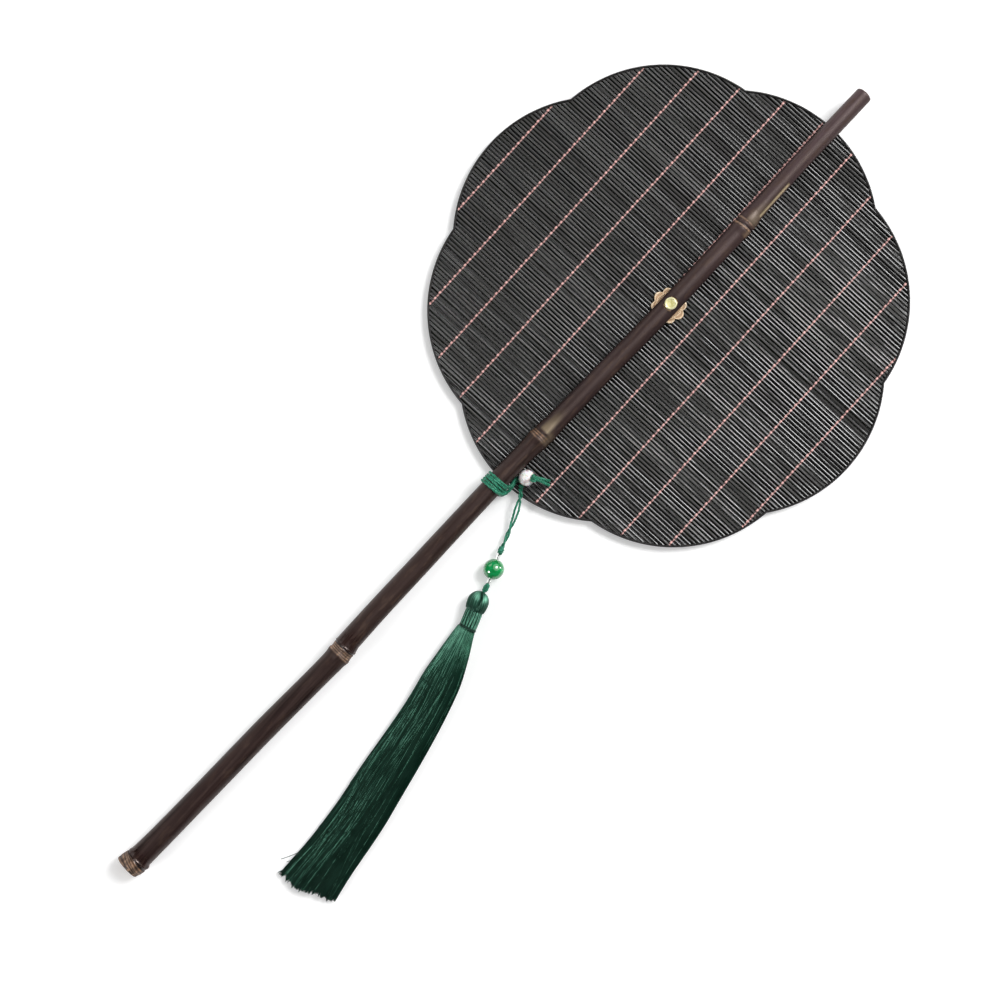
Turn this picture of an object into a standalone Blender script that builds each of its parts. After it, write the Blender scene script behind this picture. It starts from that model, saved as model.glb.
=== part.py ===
# A rigid paddle fan: a lobed leaf of dyed bamboo splints, riveted to a long bamboo stick,
# with a cord binding, a white bead, a green bead and a silk tassel.
# It lies on its back on a table: Y runs along the stick to its tip, X to the right of it
# seen from above, Z up. The origin is on the table, at the middle of the stick's length.

import math

import bmesh
import bpy
import numpy as np
from mathutils import Matrix, Vector

# Clearances
seat_gap = 0.0003
turn_gap = 0.0003
bore_gap = 0.0003
cut_overrun = 0.0020
weld_distance = 0.000001
merge_distance = 0.00001

# Rivet
rivet_head_radius = 0.0035
rivet_head_thickness = 0.0011
rivet_dish_radius = 0.0024
rivet_dish_depth = 0.0002
rivet_shank_radius = 0.0012
rivet_cap_radius = 0.0036
rivet_cap_thickness = 0.0008
rivet_socket_floor = 0.0004
rivet_barrel_wall = 0.0005
rivet_seat_depth = 0.0007

# Washers
washer_radius = 0.0090
washer_thickness = 0.0007
petal_count = 8
petal_depth_share = 0.19

# Leaf
leaf_radius = 0.1203
lobe_depth = 0.0063
lobe_count = 8
lobe_steps = 12
splint_pitch = 0.001845
splint_thickness = 0.0014
splint_web = 0.0005
splint_section_shares = ((0.0, 0.0), (0.16, 0.72), (0.5, 1.0), (0.84, 0.72))
splint_phase_share = 0.31

# Warp threads
thread_spacing = 0.0211
thread_middle = -0.0043
thread_diameter = 0.0005
thread_turn_margin = 0.0016
thread_side_margin = 0.0090

# Rim
rim_width = 0.0011
rim_wall = 0.00035

# Stick: share of its length, of its bow, of its rise and of its radius
stick_length = 0.5296
stick_bow = 0.0122
stick_radius = 0.0056
stick_sides_resolution = 4
stick_tip_bore_radius = 0.0011
stick_tip_bore_depth = 0.0080
rivet_place_share = 0.732
butt_radius_share = 1.16
stick_shares = (
    (0.000, 1.000, 0.00, 1.08),
    (0.004, 0.990, 0.01, butt_radius_share),
    (0.007, 0.985, 0.02, 1.11),
    (0.010, 0.975, 0.03, 1.13),
    (0.013, 0.965, 0.03, 1.08),
    (0.016, 0.955, 0.04, 1.10),
    (0.019, 0.930, 0.05, 1.04),
    (0.040, 0.860, 0.09, 1.02),
    (0.100, 0.760, 0.21, 1.00),
    (0.180, 0.630, 0.37, 1.00),
    (0.255, 0.500, 0.51, 0.99),
    (0.276, 0.455, 0.55, 1.03),
    (0.282, 0.450, 0.56, 1.11),
    (0.286, 0.455, 0.57, 1.03),
    (0.291, 0.470, 0.58, 1.06),
    (0.300, 0.500, 0.60, 0.98),
    (0.330, 0.505, 0.66, 0.95),
    (0.400, 0.470, 0.80, 0.92),
    (0.470, 0.410, 0.95, 0.90),
    (0.530, 0.340, 1.00, 0.90),
    (0.549, 0.300, 1.00, 0.95),
    (0.556, 0.280, 1.00, 1.03),
    (0.560, 0.262, 1.00, 0.98),
    (0.566, 0.245, 1.00, 1.00),
    (0.580, 0.225, 1.00, 0.90),
    (0.640, 0.140, 1.00, 0.86),
    (rivet_place_share, 0.000, 1.00, 0.875),
    (0.800, -0.045, 1.00, 0.86),
    (0.822, -0.060, 1.00, 0.88),
    (0.829, -0.066, 1.00, 0.94),
    (0.833, -0.066, 1.00, 0.88),
    (0.839, -0.060, 1.00, 0.91),
    (0.850, -0.045, 1.00, 0.79),
    (0.900, -0.035, 1.00, 0.74),
    (0.960, -0.065, 0.98, 0.735),
    (0.997, -0.095, 0.96, 0.73),
    (1.000, -0.098, 0.96, 0.70),
)

# Cord binding round the stick
binding_back = 0.1239
binding_turns = 4.75
binding_pitch = 0.00126
binding_cord_diameter = 0.0008
binding_points_per_turn = 24

# White bead, its ties and its stopper knot
white_bead_radius = 0.0041
white_bead_back = 0.1109
white_bead_clearance = 0.0004
white_bead_axis = Vector((0.58, 0.42, 0.70)).normalized()
tie_diameter = 0.0008
tie_spread = 0.0012
tie_routes = (
    ((0.0030, 0.1270, 0.0056), (0.0042, 0.1225, 0.0062), (0.0041, 0.1165, 0.0063)),
    ((0.0026, 0.1175, 0.0074),),
)
stopper_knot_radius = 0.0016
stopper_knot_length_share = 0.8
tail_diameter = 0.0008
tail_lengths = (0.0085, 0.0070)
tail_turns_deg = (14, 42)

# Hitch and pendant cord, two strands
hitch_line = Vector((0.18, -0.98, 0.0)).normalized()
hitch_clearance = 0.0006
hitch_radius = 0.0011
strand_diameter = 0.0009
strand_spread = 0.0013
strand_end_spread_share = 0.9

# Green bead, its small clear beads and their thread
green_bead_radius = 0.0051
green_bead_side = 0.0235
green_bead_back = 0.1556
bead_line = Vector((0.37, -0.93, 0.0)).normalized()
clear_bead_radius = 0.0011
bead_thread_diameter = 0.0006
upper_knot_radius = 0.0013

# Tassel
tassel_loop_radius = 0.0012
tassel_loop_length = 0.0044
tassel_link_line = Vector((0.22, -0.975, 0.0)).normalized()
tassel_head_radius = 0.0054
neck_start_share = 0.86
tassel_line = Vector((0.34, -0.94, 0.0)).normalized()
tassel_slit_width = 0.0009
tassel_slit_depth = 0.0032
neck_length = 0.0092
neck_radius = 0.00435
neck_wall = 0.0010
skirt_length = 0.1535
skirt_hem_width = 0.0308
skirt_height = 0.0090
skirt_sides = 32
skirt_fold_count = 8
skirt_fold_share = 0.05

# Skirt stations: share of its length, sideways drift as a share of its length, share of the
# hem width, share of the height
skirt_shares = (
    (0.000, 0.000, 0.29, 0.96),
    (0.035, 0.000, 0.35, 1.00),
    (0.110, -0.005, 0.49, 1.00),
    (0.190, -0.012, 0.62, 0.94),
    (0.300, -0.024, 0.66, 0.86),
    (0.420, -0.039, 0.69, 0.80),
    (0.560, -0.063, 0.75, 0.74),
    (0.700, -0.091, 0.81, 0.67),
    (0.850, -0.126, 0.88, 0.59),
    (0.940, -0.147, 0.95, 0.54),
    (1.000, -0.160, 1.00, 0.50),
)

# Heights of the stack at the rivet, from the table up
back_washer_bottom = rivet_cap_thickness + seat_gap
back_washer_top = back_washer_bottom + washer_thickness
back_thread_height = back_washer_top + turn_gap + thread_diameter / 2
mat_bottom = back_thread_height + thread_diameter / 2 + seat_gap
mat_middle = mat_bottom + splint_thickness / 2
mat_top = mat_bottom + splint_thickness
front_thread_height = mat_top + seat_gap + thread_diameter / 2
thread_top = front_thread_height + thread_diameter / 2
front_washer_bottom = thread_top + turn_gap
front_washer_top = front_washer_bottom + washer_thickness
channel_height = splint_thickness + 2 * seat_gap
rim_height = channel_height + 2 * rim_wall
mat_inset = rim_wall + seat_gap

# Places along the stick
butt_y = -stick_length / 2
rivet_y = butt_y + stick_length * rivet_place_share


def radius_at(share):
    """Radius of the stick at a share of its length."""
    return stick_radius * np.interp(share, [s[0] for s in stick_shares], [s[3] for s in stick_shares])


stick_seat_height = front_washer_top + seat_gap + radius_at(rivet_place_share)
butt_height = stick_radius * butt_radius_share


def stick_point(share, bow, rise, radius):
    """Centre of the stick at one station; over the leaf it stays clear of the threads."""
    y = butt_y + stick_length * share
    height = butt_height + (stick_seat_height - butt_height) * rise
    if abs(y - rivet_y) < leaf_radius:
        height = max(height, thread_top + turn_gap + stick_radius * radius)
    return Vector((-stick_bow * bow, y, height))


stick_points = [stick_point(*station) for station in stick_shares]


def share_at(y):
    """Share of the stick's length at a place along Y."""
    return (y - butt_y) / stick_length


def stick_at(share):
    """Centre of the stick at any share of its length, and its direction there."""
    places = [station[0] for station in stick_shares]
    centre = Vector([float(np.interp(share, places, [p[axis] for p in stick_points])) for axis in range(3)])
    index = min(max(int(np.searchsorted(places, share)), 1), len(places) - 1)
    return centre, (stick_points[index] - stick_points[index - 1]).normalized()


# Scene and helpers

for old in list(bpy.data.objects):
    bpy.data.objects.remove(old, do_unlink=True)

fan = bpy.data.collections.new("paddle_fan")
cutters = bpy.data.collections.new("cutters")
bpy.context.scene.collection.children.link(fan)
bpy.context.scene.collection.children.link(cutters)


def material(name, colour, roughness, metallic=0.0):
    """A Principled material with the piece's colour and finish."""
    made = bpy.data.materials.get(name) or bpy.data.materials.new(name)
    made.use_nodes = True
    shader = made.node_tree.nodes["Principled BSDF"]
    shader.inputs["Base Color"].default_value = (*colour, 1.0)
    shader.inputs["Roughness"].default_value = roughness
    shader.inputs["Metallic"].default_value = metallic
    made.diffuse_color = (*colour, 1.0)
    return made


dark_bamboo = material("dark_bamboo", (0.060, 0.036, 0.028), 0.38)
black_bamboo = material("black_bamboo", (0.020, 0.019, 0.018), 0.32)
red_thread = material("red_thread", (0.62, 0.16, 0.12), 0.70)
black_edging = material("black_edging", (0.010, 0.010, 0.010), 0.55)
pale_brass = material("pale_brass", (0.78, 0.72, 0.34), 0.30, 1.0)
tan_washer = material("tan_washer", (0.62, 0.42, 0.24), 0.60)
green_cord = material("green_cord", (0.018, 0.180, 0.095), 0.65)
pearl_white = material("pearl_white", (0.82, 0.82, 0.82), 0.25)
green_stone = material("green_stone", (0.004, 0.290, 0.045), 0.10)
clear_glass = material("clear_glass", (0.75, 0.80, 0.78), 0.08)
dark_thread = material("dark_thread", (0.020, 0.030, 0.025), 0.70)
green_silk = material("green_silk", (0.010, 0.110, 0.060), 0.45)


def add(obj, collection, made=None):
    """Links an object, with its material, into a collection."""
    collection.objects.link(obj)
    if made is not None:
        obj.data.materials.clear()
        obj.data.materials.append(made)
    return obj


def as_cutter(obj):
    """Marks an object as a cutter."""
    obj.hide_render = True
    obj.display_type = "WIRE"
    return obj


def mesh_object(name, mesh, collection, made=None):
    """An object for a finished mesh, shaded smooth with sharp edges kept."""
    mesh.shade_smooth()
    mesh.set_sharp_from_angle(angle=math.radians(40))
    return add(bpy.data.objects.new(name, mesh), collection, made)


def bmesh_object(name, bm, collection, made=None):
    """An object from a bmesh."""
    mesh = bpy.data.meshes.new(name)
    bm.to_mesh(mesh)
    bm.free()
    return mesh_object(name, mesh, collection, made)


def curve_to_mesh(curve_object, collection, made=None):
    """Turns a curve object into a closed mesh object of the same name and place."""
    bpy.context.view_layer.update()
    evaluated = curve_object.evaluated_get(bpy.context.evaluated_depsgraph_get())
    mesh = bpy.data.meshes.new_from_object(evaluated)
    name, place = curve_object.name, curve_object.matrix_world.copy()
    bpy.data.objects.remove(curve_object, do_unlink=True)
    bm = bmesh.new()
    bm.from_mesh(mesh)
    bmesh.ops.remove_doubles(bm, verts=bm.verts, dist=weld_distance)
    bm.to_mesh(mesh)
    bm.free()
    made_object = mesh_object(name, mesh, collection, made)
    made_object.matrix_world = place
    return made_object


def flat_outline(name, outlines, height, middle):
    """A flat plate of the given height: outer outline first, then its holes."""
    curve = bpy.data.curves.new(name, "CURVE")
    curve.dimensions = "2D"
    curve.fill_mode = "BOTH"
    curve.extrude = height / 2
    for outline in outlines:
        spline = curve.splines.new("POLY")
        spline.points.add(len(outline) - 1)
        for point, (x, y) in zip(spline.points, outline):
            point.co = (x, y, 0.0, 1.0)
        spline.use_cyclic_u = True
    plate = add(bpy.data.objects.new(name, curve), fan)
    plate.location = middle
    return plate


def tube(name, points, diameter, made, resolution=1, cyclic=False, radii=None):
    """A tube with filled caps along points."""
    curve = bpy.data.curves.new(name, "CURVE")
    curve.dimensions = "3D"
    curve.bevel_depth = diameter / 2
    curve.bevel_resolution = resolution
    curve.use_fill_caps = not cyclic
    spline = curve.splines.new("POLY")
    spline.points.add(len(points) - 1)
    for index, (point, place) in enumerate(zip(spline.points, points)):
        point.co = (*place, 1.0)
        if radii is not None:
            point.radius = radii[index]
    spline.use_cyclic_u = cyclic
    return add(bpy.data.objects.new(name, curve), fan, made)


def cylinder_cutter(name, radius, start, end, sides=16):
    """A round cutter between two points."""
    bm = bmesh.new()
    bmesh.ops.create_cone(bm, cap_ends=True, segments=sides, radius1=radius, radius2=radius,
                          depth=(end - start).length)
    cutter = as_cutter(bmesh_object(name, bm, cutters))
    turn = (end - start).to_track_quat("Z", "Y").to_matrix().to_4x4()
    cutter.matrix_world = Matrix.Translation((start + end) / 2) @ turn
    return cutter


def cut(obj, cutter, operation="DIFFERENCE"):
    """Cuts or joins one object with another through an exact Boolean."""
    boolean = obj.modifiers.new(cutter.name, "BOOLEAN")
    boolean.operation = operation
    boolean.solver = "EXACT"
    boolean.object = cutter
    return boolean


def turned(name, profile, made, steps=24, axis=Vector((0, 0, 1)), place=Vector((0, 0, 0))):
    """A solid of revolution from a profile that runs down its outer side, top to bottom."""
    bm = bmesh.new()
    verts = [bm.verts.new((radius, 0.0, height)) for radius, height in profile]
    for first, second in zip(verts, verts[1:]):
        bm.edges.new((first, second))
    mesh = bpy.data.meshes.new(name)
    bm.to_mesh(mesh)
    bm.free()
    obj = add(bpy.data.objects.new(name, mesh), fan, made)
    screw = obj.modifiers.new("turn", "SCREW")
    screw.axis = "Z"
    screw.steps = steps
    screw.render_steps = steps
    screw.use_merge_vertices = True
    screw.merge_threshold = merge_distance
    screw.use_smooth_shade = True
    turn = axis.to_track_quat("Z", "Y").to_matrix().to_4x4()
    obj.matrix_world = Matrix.Translation(place) @ turn
    return obj


def half_arc(radius, steps):
    """Profile of a ball, from its top pole down to its bottom pole."""
    angles = [math.pi * step / steps for step in range(steps + 1)]
    points = [(radius * math.sin(a), radius * math.cos(a)) for a in angles]
    points[0], points[-1] = (0.0, radius), (0.0, -radius)
    return points


def bored_ball(name, radius, bore_radius, made, axis, place, steps=10):
    """A bead: a turned ball with a bore through it."""
    start = math.asin(bore_radius / radius)
    angles = [start + (math.pi - 2 * start) * step / steps for step in range(steps + 1)]
    profile = [(radius * math.sin(a), radius * math.cos(a)) for a in angles]
    return turned(name, profile + [profile[0]], made, 20, axis, place)


def smooth_path(guides, count):
    """Points spread evenly on a smooth curve through the guide points."""
    guides = [Vector(guide) for guide in guides]
    ends = [2 * guides[0] - guides[1]] + guides + [2 * guides[-1] - guides[-2]]
    fine = []
    for a, b, c, d in zip(ends, ends[1:], ends[2:], ends[3:]):
        for step in range(20):
            t = step / 20
            fine.append(0.5 * ((2 * b) + (c - a) * t + (2 * a - 5 * b + 4 * c - d) * t ** 2
                               + (3 * b - a - 3 * c + d) * t ** 3))
    fine.append(guides[-1])
    reach = np.cumsum([0.0] + [(b - a).length for a, b in zip(fine, fine[1:])])
    wanted = np.linspace(0.0, reach[-1], count)
    return [Vector([float(np.interp(w, reach, [p[axis] for p in fine])) for axis in range(3)])
            for w in wanted]


# Leaf outline: the lobes are equal arcs

notch_radius = leaf_radius - lobe_depth
half_lobe = math.pi / lobe_count
half_chord = notch_radius * math.sin(half_lobe)
lobe_rise = leaf_radius - notch_radius * math.cos(half_lobe)
lobe_arc_radius = (half_chord ** 2 + lobe_rise ** 2) / (2 * lobe_rise)
lobe_centre = leaf_radius - lobe_arc_radius


def lobed_outline(inset):
    """The leaf's outline, moved inwards by inset."""
    radius = lobe_arc_radius - inset
    reach = (lobe_centre * math.cos(half_lobe)
             + math.sqrt(radius ** 2 - (lobe_centre * math.sin(half_lobe)) ** 2))
    sweep = math.atan2(reach * math.sin(half_lobe), reach * math.cos(half_lobe) - lobe_centre)
    points = []
    for lobe in range(lobe_count):
        facing = 2 * half_lobe * lobe
        centre = lobe_centre * Vector((math.cos(facing), math.sin(facing)))
        for step in range(lobe_steps):
            angle = facing - sweep + 2 * sweep * step / lobe_steps
            points.append(centre + radius * Vector((math.cos(angle), math.sin(angle))))
    return points


def leaf_edge(x, inset):
    """How far the leaf reaches along Y at a given X."""
    radius = lobe_arc_radius - inset
    reaches = []
    for lobe in range(lobe_count):
        facing = 2 * half_lobe * lobe
        across = x - lobe_centre * math.cos(facing)
        if abs(across) < radius:
            reaches.append(lobe_centre * math.sin(facing) + math.sqrt(radius ** 2 - across ** 2))
    return max(reaches)


leaf_place = Vector((0.0, rivet_y, mat_middle))

# Splint mat: ribbed sheet, one rib for each splint, trimmed to the lobed outline

rib_count = 2 * math.ceil((leaf_radius + splint_pitch) / splint_pitch)
rib_start = -(rib_count / 2 + splint_phase_share) * splint_pitch
upper_side = []
for rib in range(rib_count):
    for along_share, height_share in splint_section_shares:
        height = splint_web / 2 + (splint_thickness - splint_web) / 2 * height_share
        upper_side.append((rib_start + (rib + along_share) * splint_pitch, height))
upper_side.append((rib_start + rib_count * splint_pitch, splint_web / 2))
lower_side = [(y, -z) for y, z in reversed(upper_side)]
ribbed = flat_outline("splint_mat", [upper_side + lower_side], 2 * (leaf_radius + cut_overrun), leaf_place)
ribbed.rotation_euler = (math.pi / 2, 0.0, math.pi / 2)
splint_mat = curve_to_mesh(ribbed, fan, black_bamboo)

trim = flat_outline("mat_trim", [lobed_outline(mat_inset)], splint_thickness + cut_overrun, leaf_place)
cut(splint_mat, as_cutter(curve_to_mesh(trim, cutters)), "INTERSECT")

# Warp threads: each a flat loop round the mat, through two small holes near its edge

thread_reach = leaf_radius - thread_side_margin
first_line = math.ceil((-thread_reach - thread_middle) / thread_spacing)
last_line = math.floor((thread_reach - thread_middle) / thread_spacing)
thread_lines = [thread_middle + thread_spacing * line for line in range(first_line, last_line + 1)]
hole_radius = thread_diameter / 2 + bore_gap
for index, x in enumerate(thread_lines):
    far = leaf_edge(x, rim_width + thread_turn_margin)
    corner = thread_diameter
    low, high = back_thread_height, front_thread_height
    side = [(far - corner, high), (far, high - corner), (far, low + corner), (far - corner, low)]
    loop = [(x, rivet_y + y, z) for y, z in side] + [(x, rivet_y - y, z) for y, z in reversed(side)]
    tube(f"warp_thread_{index + 1:02d}", loop, thread_diameter, red_thread, cyclic=True)
    for end, y in enumerate((rivet_y - far, rivet_y + far)):
        below, above = Vector((x, y, mat_bottom - cut_overrun)), Vector((x, y, mat_top + cut_overrun))
        cut(splint_mat, cylinder_cutter(f"thread_hole_{index + 1:02d}_{end}", hole_radius, below, above, 8))

# Rim: an edging folded over the mat's edge, C-shaped in section

rim = flat_outline("leaf_rim", [lobed_outline(0.0), lobed_outline(rim_width)], rim_height, leaf_place)
rim = curve_to_mesh(rim, fan, black_edging)
channel = flat_outline("rim_channel", [lobed_outline(rim_wall)], channel_height, leaf_place)
cut(rim, as_cutter(curve_to_mesh(channel, cutters)))

# Rivet, its cap and the two flower washers

rivet_place = Vector((0.0, rivet_y, 0.0))
stick_top = stick_seat_height + radius_at(rivet_place_share)
head_seat = stick_top - rivet_seat_depth
head_bottom = head_seat + seat_gap
head_top = head_bottom + rivet_head_thickness
head_edge = rivet_head_thickness / 3
barrel_bore = rivet_shank_radius + bore_gap
barrel_radius = barrel_bore + rivet_barrel_wall
turned("rivet_post", [
    (0.0, head_top - rivet_dish_depth),
    (rivet_dish_radius, head_top - rivet_dish_depth),
    (rivet_dish_radius + rivet_dish_depth, head_top),
    (rivet_head_radius - head_edge, head_top),
    (rivet_head_radius, head_top - head_edge),
    (rivet_head_radius, head_bottom),
    (rivet_shank_radius, head_bottom),
    (rivet_shank_radius, rivet_socket_floor + bore_gap),
    (0.0, rivet_socket_floor + bore_gap),
], pale_brass, place=rivet_place)
turned("rivet_cap", [
    (0.0, rivet_socket_floor),
    (barrel_bore, rivet_socket_floor),
    (barrel_bore, back_washer_top),
    (barrel_radius, back_washer_top),
    (barrel_radius, rivet_cap_thickness),
    (rivet_cap_radius, rivet_cap_thickness),
    (rivet_cap_radius, 0.0),
    (0.0, 0.0),
], pale_brass, place=rivet_place)


def flower_outline(radius, steps_per_petal=8):
    """Outline of a flower washer with round petals."""
    points = []
    for step in range(petal_count * steps_per_petal):
        turn = 2 * math.pi * step / (petal_count * steps_per_petal)
        petal = abs(math.cos(petal_count * turn / 2))
        reach = radius * (1 - petal_depth_share * (1 - math.sqrt(petal)))
        points.append((reach * math.cos(turn), reach * math.sin(turn)))
    return points


def round_outline(radius, steps=24):
    """A circle as an outline."""
    return [(radius * math.cos(2 * math.pi * step / steps), radius * math.sin(2 * math.pi * step / steps))
            for step in range(steps)]


front_hole = round_outline(rivet_shank_radius + bore_gap)
back_hole = round_outline(barrel_radius + bore_gap)
for name, hole, bottom in (("front_washer", front_hole, front_washer_bottom),
                           ("back_washer", back_hole, back_washer_bottom)):
    middle = Vector((0.0, rivet_y, bottom + washer_thickness / 2))
    washer = flat_outline(name, [flower_outline(washer_radius), hole], washer_thickness, middle)
    curve_to_mesh(washer, fan, tan_washer)

below, above = Vector((0, rivet_y, mat_bottom - cut_overrun)), Vector((0, rivet_y, mat_top + cut_overrun))
cut(splint_mat, cylinder_cutter("mat_rivet_hole", rivet_shank_radius + bore_gap, below, above))

# Bamboo stick, with swollen nodes, a flat seat and a bore for the rivet, and a pith bore at its tip

stick = tube("bamboo_stick", stick_points, 2 * stick_radius, dark_bamboo, stick_sides_resolution,
             radii=[station[3] for station in stick_shares])
stick = curve_to_mesh(stick, fan, dark_bamboo)
above_stick = Vector((0, rivet_y, stick_top + cut_overrun))
below_stick = Vector((0, rivet_y, front_washer_bottom - cut_overrun))
seat_floor = Vector((0, rivet_y, head_seat))
cut(stick, cylinder_cutter("rivet_seat", rivet_head_radius + seat_gap, seat_floor, above_stick, 24))
cut(stick, cylinder_cutter("rivet_bore", rivet_shank_radius + bore_gap, below_stick, above_stick))
tip, tip_direction = stick_points[-1], (stick_points[-1] - stick_points[-3]).normalized()
cut(stick, cylinder_cutter("pith_bore", stick_tip_bore_radius, tip - stick_tip_bore_depth * tip_direction,
                           tip + cut_overrun * tip_direction))

# Cord binding: one tube wound round the stick, both ends on the bead's side

binding_share = share_at(rivet_y - binding_back)
binding_middle, binding_axis = stick_at(binding_share)
binding_radius = radius_at(binding_share) + seat_gap + binding_cord_diameter / 2
binding_frame = Matrix.Translation(binding_middle) @ binding_axis.to_track_quat("Z", "X").to_matrix().to_4x4()
downwards = binding_frame.inverted().to_3x3() @ Vector((0, 0, -1))
start_angle = math.atan2(downwards.y, downwards.x)
turn_points = round(binding_turns * binding_points_per_turn)
winding = []
for step in range(turn_points + 1):
    turn = step / binding_points_per_turn
    angle = start_angle + 2 * math.pi * turn
    along = (turn - binding_turns / 2) * binding_pitch
    place = Vector((binding_radius * math.cos(angle), binding_radius * math.sin(angle), along))
    winding.append(binding_frame @ place)


def run_out(points, length):
    """A point that carries the end of a tube straight on."""
    return points[-1] + length * (points[-1] - points[-2]).normalized()


first_end, last_end = run_out(winding[1::-1], binding_cord_diameter), run_out(winding, binding_cord_diameter)
winding = [first_end] + winding + [last_end]
tube("binding_cord", winding, binding_cord_diameter, green_cord)


def least_gap(points, diameter, skip):
    """Least distance between two turns of a tube, surface to surface, measured on its points."""
    places = np.array([tuple(point) for point in points])
    distances = np.linalg.norm(places[:, None] - places[None, :], axis=2)
    rows, columns = np.indices(distances.shape)
    return distances[abs(rows - columns) > skip].min() - diameter


binding_gap = least_gap(winding, binding_cord_diameter, binding_points_per_turn // 2)
print(f"binding cord: least gap to itself {binding_gap * 1000:.2f} mm")

# White bead on its two ties, with the stopper knot and its tails

bead_bore = tie_spread / 2 + tie_diameter / 2 + bore_gap
bead_share = share_at(rivet_y - white_bead_back)
bead_height = thread_top + turn_gap + white_bead_radius
stick_beside_bead, _ = stick_at(bead_share)
bead_reach = radius_at(bead_share) + white_bead_clearance + white_bead_radius
white_bead_side = stick_beside_bead.x + math.sqrt(bead_reach ** 2 - (stick_beside_bead.z - bead_height) ** 2)
white_bead_place = Vector((white_bead_side, rivet_y - white_bead_back, bead_height))
bored_ball("white_bead", white_bead_radius, bead_bore, pearl_white, white_bead_axis, white_bead_place)

across_bore = white_bead_axis.cross(Vector((0, 0, 1))).normalized()
knot_reach = white_bead_radius + stopper_knot_radius * stopper_knot_length_share
knot_place = white_bead_place + knot_reach * white_bead_axis
for index, (end, before, side) in enumerate(((winding[0], winding[1], 1), (winding[-1], winding[-2], -1))):
    heading = (end - before).normalized()
    shift = side * tie_spread / 2 * across_bore
    start = end + seat_gap * heading
    route = [Vector((x, rivet_y - back, z)) for x, back, z in tie_routes[index]]
    mouth = white_bead_place - (white_bead_radius + tie_diameter) * white_bead_axis + shift
    bore_end = white_bead_place + (white_bead_radius - seat_gap) * white_bead_axis + shift
    route = [start, start + tie_diameter * heading] + route + [mouth, white_bead_place + shift, bore_end]
    tube(f"bead_tie_{index + 1}", smooth_path(route, 16), tie_diameter, green_cord)

knot_profile = [(r, z * stopper_knot_length_share) for r, z in half_arc(stopper_knot_radius, 8)]
turned("stopper_knot", knot_profile, green_cord, 16, white_bead_axis, knot_place)
for index, (length, turn_deg) in enumerate(zip(tail_lengths, tail_turns_deg)):
    away = Vector((math.cos(math.radians(turn_deg)), math.sin(math.radians(turn_deg)), 0.0))
    start = knot_place + (stopper_knot_radius + seat_gap) * away
    rest = Vector((start.x, start.y, thread_top + turn_gap + tail_diameter / 2)) + length * away
    middle = (start + rest) / 2 + Vector((0, 0, tail_diameter))
    tube(f"knot_tail_{index + 1}", smooth_path([start, middle, rest], 8), tail_diameter, green_cord)

# Hitch and the two strands of the pendant cord, which sag from the leaf's edge to the green bead

hitch_reach = white_bead_radius + hitch_clearance + hitch_radius
hitch_side_reach = math.sqrt(hitch_reach ** 2 - (white_bead_radius - hitch_radius) ** 2)
hitch_place = white_bead_place + hitch_side_reach * hitch_line
hitch_place.z = thread_top + turn_gap + hitch_radius
turned("pendant_hitch", half_arc(hitch_radius, 8), green_cord, 16, place=hitch_place)

green_place = Vector((green_bead_side, rivet_y - green_bead_back, green_bead_radius))
bead_thread_radius = bead_thread_diameter / 2
clear_reach = green_bead_radius + seat_gap + clear_bead_radius
upper_knot_reach = clear_reach + clear_bead_radius + seat_gap + upper_knot_radius
upper_knot_place = green_place - upper_knot_reach * bead_line

strand_route = (
    (0.0086, 0.1192, 0.0064),
    (0.0113, 0.1242, 0.0062),
    (0.0136, 0.1290, 0.0051),
    (0.0155, 0.1338, 0.0036),
    (0.0172, 0.1384, 0.0031),
    (0.0186, 0.1424, 0.0038),
)
strand_spread_shares = (0.9, 1.1, 1.4, 1.6, 1.4, 1.0)
across_strands = Vector((-bead_line.y, bead_line.x, 0.0))
for index, side in enumerate((1, -1)):
    guides = [Vector((x, rivet_y - back, z)) + side * spread * strand_spread / 2 * across_strands
              for (x, back, z), spread in zip(strand_route, strand_spread_shares)]
    offset = side * strand_end_spread_share * strand_spread / 2 * across_strands
    from_hitch = hitch_place + (hitch_radius + seat_gap) * bead_line + offset
    to_knot = upper_knot_place - (upper_knot_radius + seat_gap) * bead_line + offset
    tube(f"pendant_strand_{index + 1}", smooth_path([from_hitch] + guides + [to_knot], 18), strand_diameter,
         green_cord, 2)

# Upper knot, clear beads, green bead and the thread that carries them

turned("upper_knot", half_arc(upper_knot_radius, 8), green_cord, 16, bead_line, upper_knot_place)
bead_end = clear_reach + clear_bead_radius
tube("bead_thread", [green_place - bead_end * bead_line, green_place + bead_end * bead_line],
     bead_thread_diameter, dark_thread)
bead_thread_bore = bead_thread_radius + bore_gap
bored_ball("green_bead", green_bead_radius, bead_thread_bore, green_stone, bead_line, green_place, 12)
bored_ball("clear_bead_1", clear_bead_radius, bead_thread_bore, clear_glass, bead_line,
           green_place - clear_reach * bead_line, 6)
bored_ball("clear_bead_2", clear_bead_radius, bead_thread_bore, clear_glass, bead_line,
           green_place + clear_reach * bead_line, 6)

# Tassel: loop, looped head with its slit, bound neck and skirt

loop_half = tassel_loop_length / 2
loop_place = green_place + (bead_end + seat_gap) * bead_line + loop_half * tassel_link_line
loop_profile = [(r, z * loop_half / tassel_loop_radius) for r, z in half_arc(tassel_loop_radius, 8)]
turned("tassel_loop", loop_profile, green_silk, 16, tassel_link_line, loop_place)

head_place = loop_place + (loop_half + seat_gap + tassel_head_radius) * tassel_link_line
head_place.z = tassel_head_radius
neck_start = tassel_head_radius * neck_start_share
head_profile = [(r, z) for r, z in half_arc(tassel_head_radius, 14) if z > -neck_start]
head_profile += [(math.sqrt(tassel_head_radius ** 2 - neck_start ** 2), -neck_start), (0.0, -neck_start)]
tassel_head = turned("tassel_head", head_profile, green_silk, 24, -tassel_line, head_place)

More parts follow.
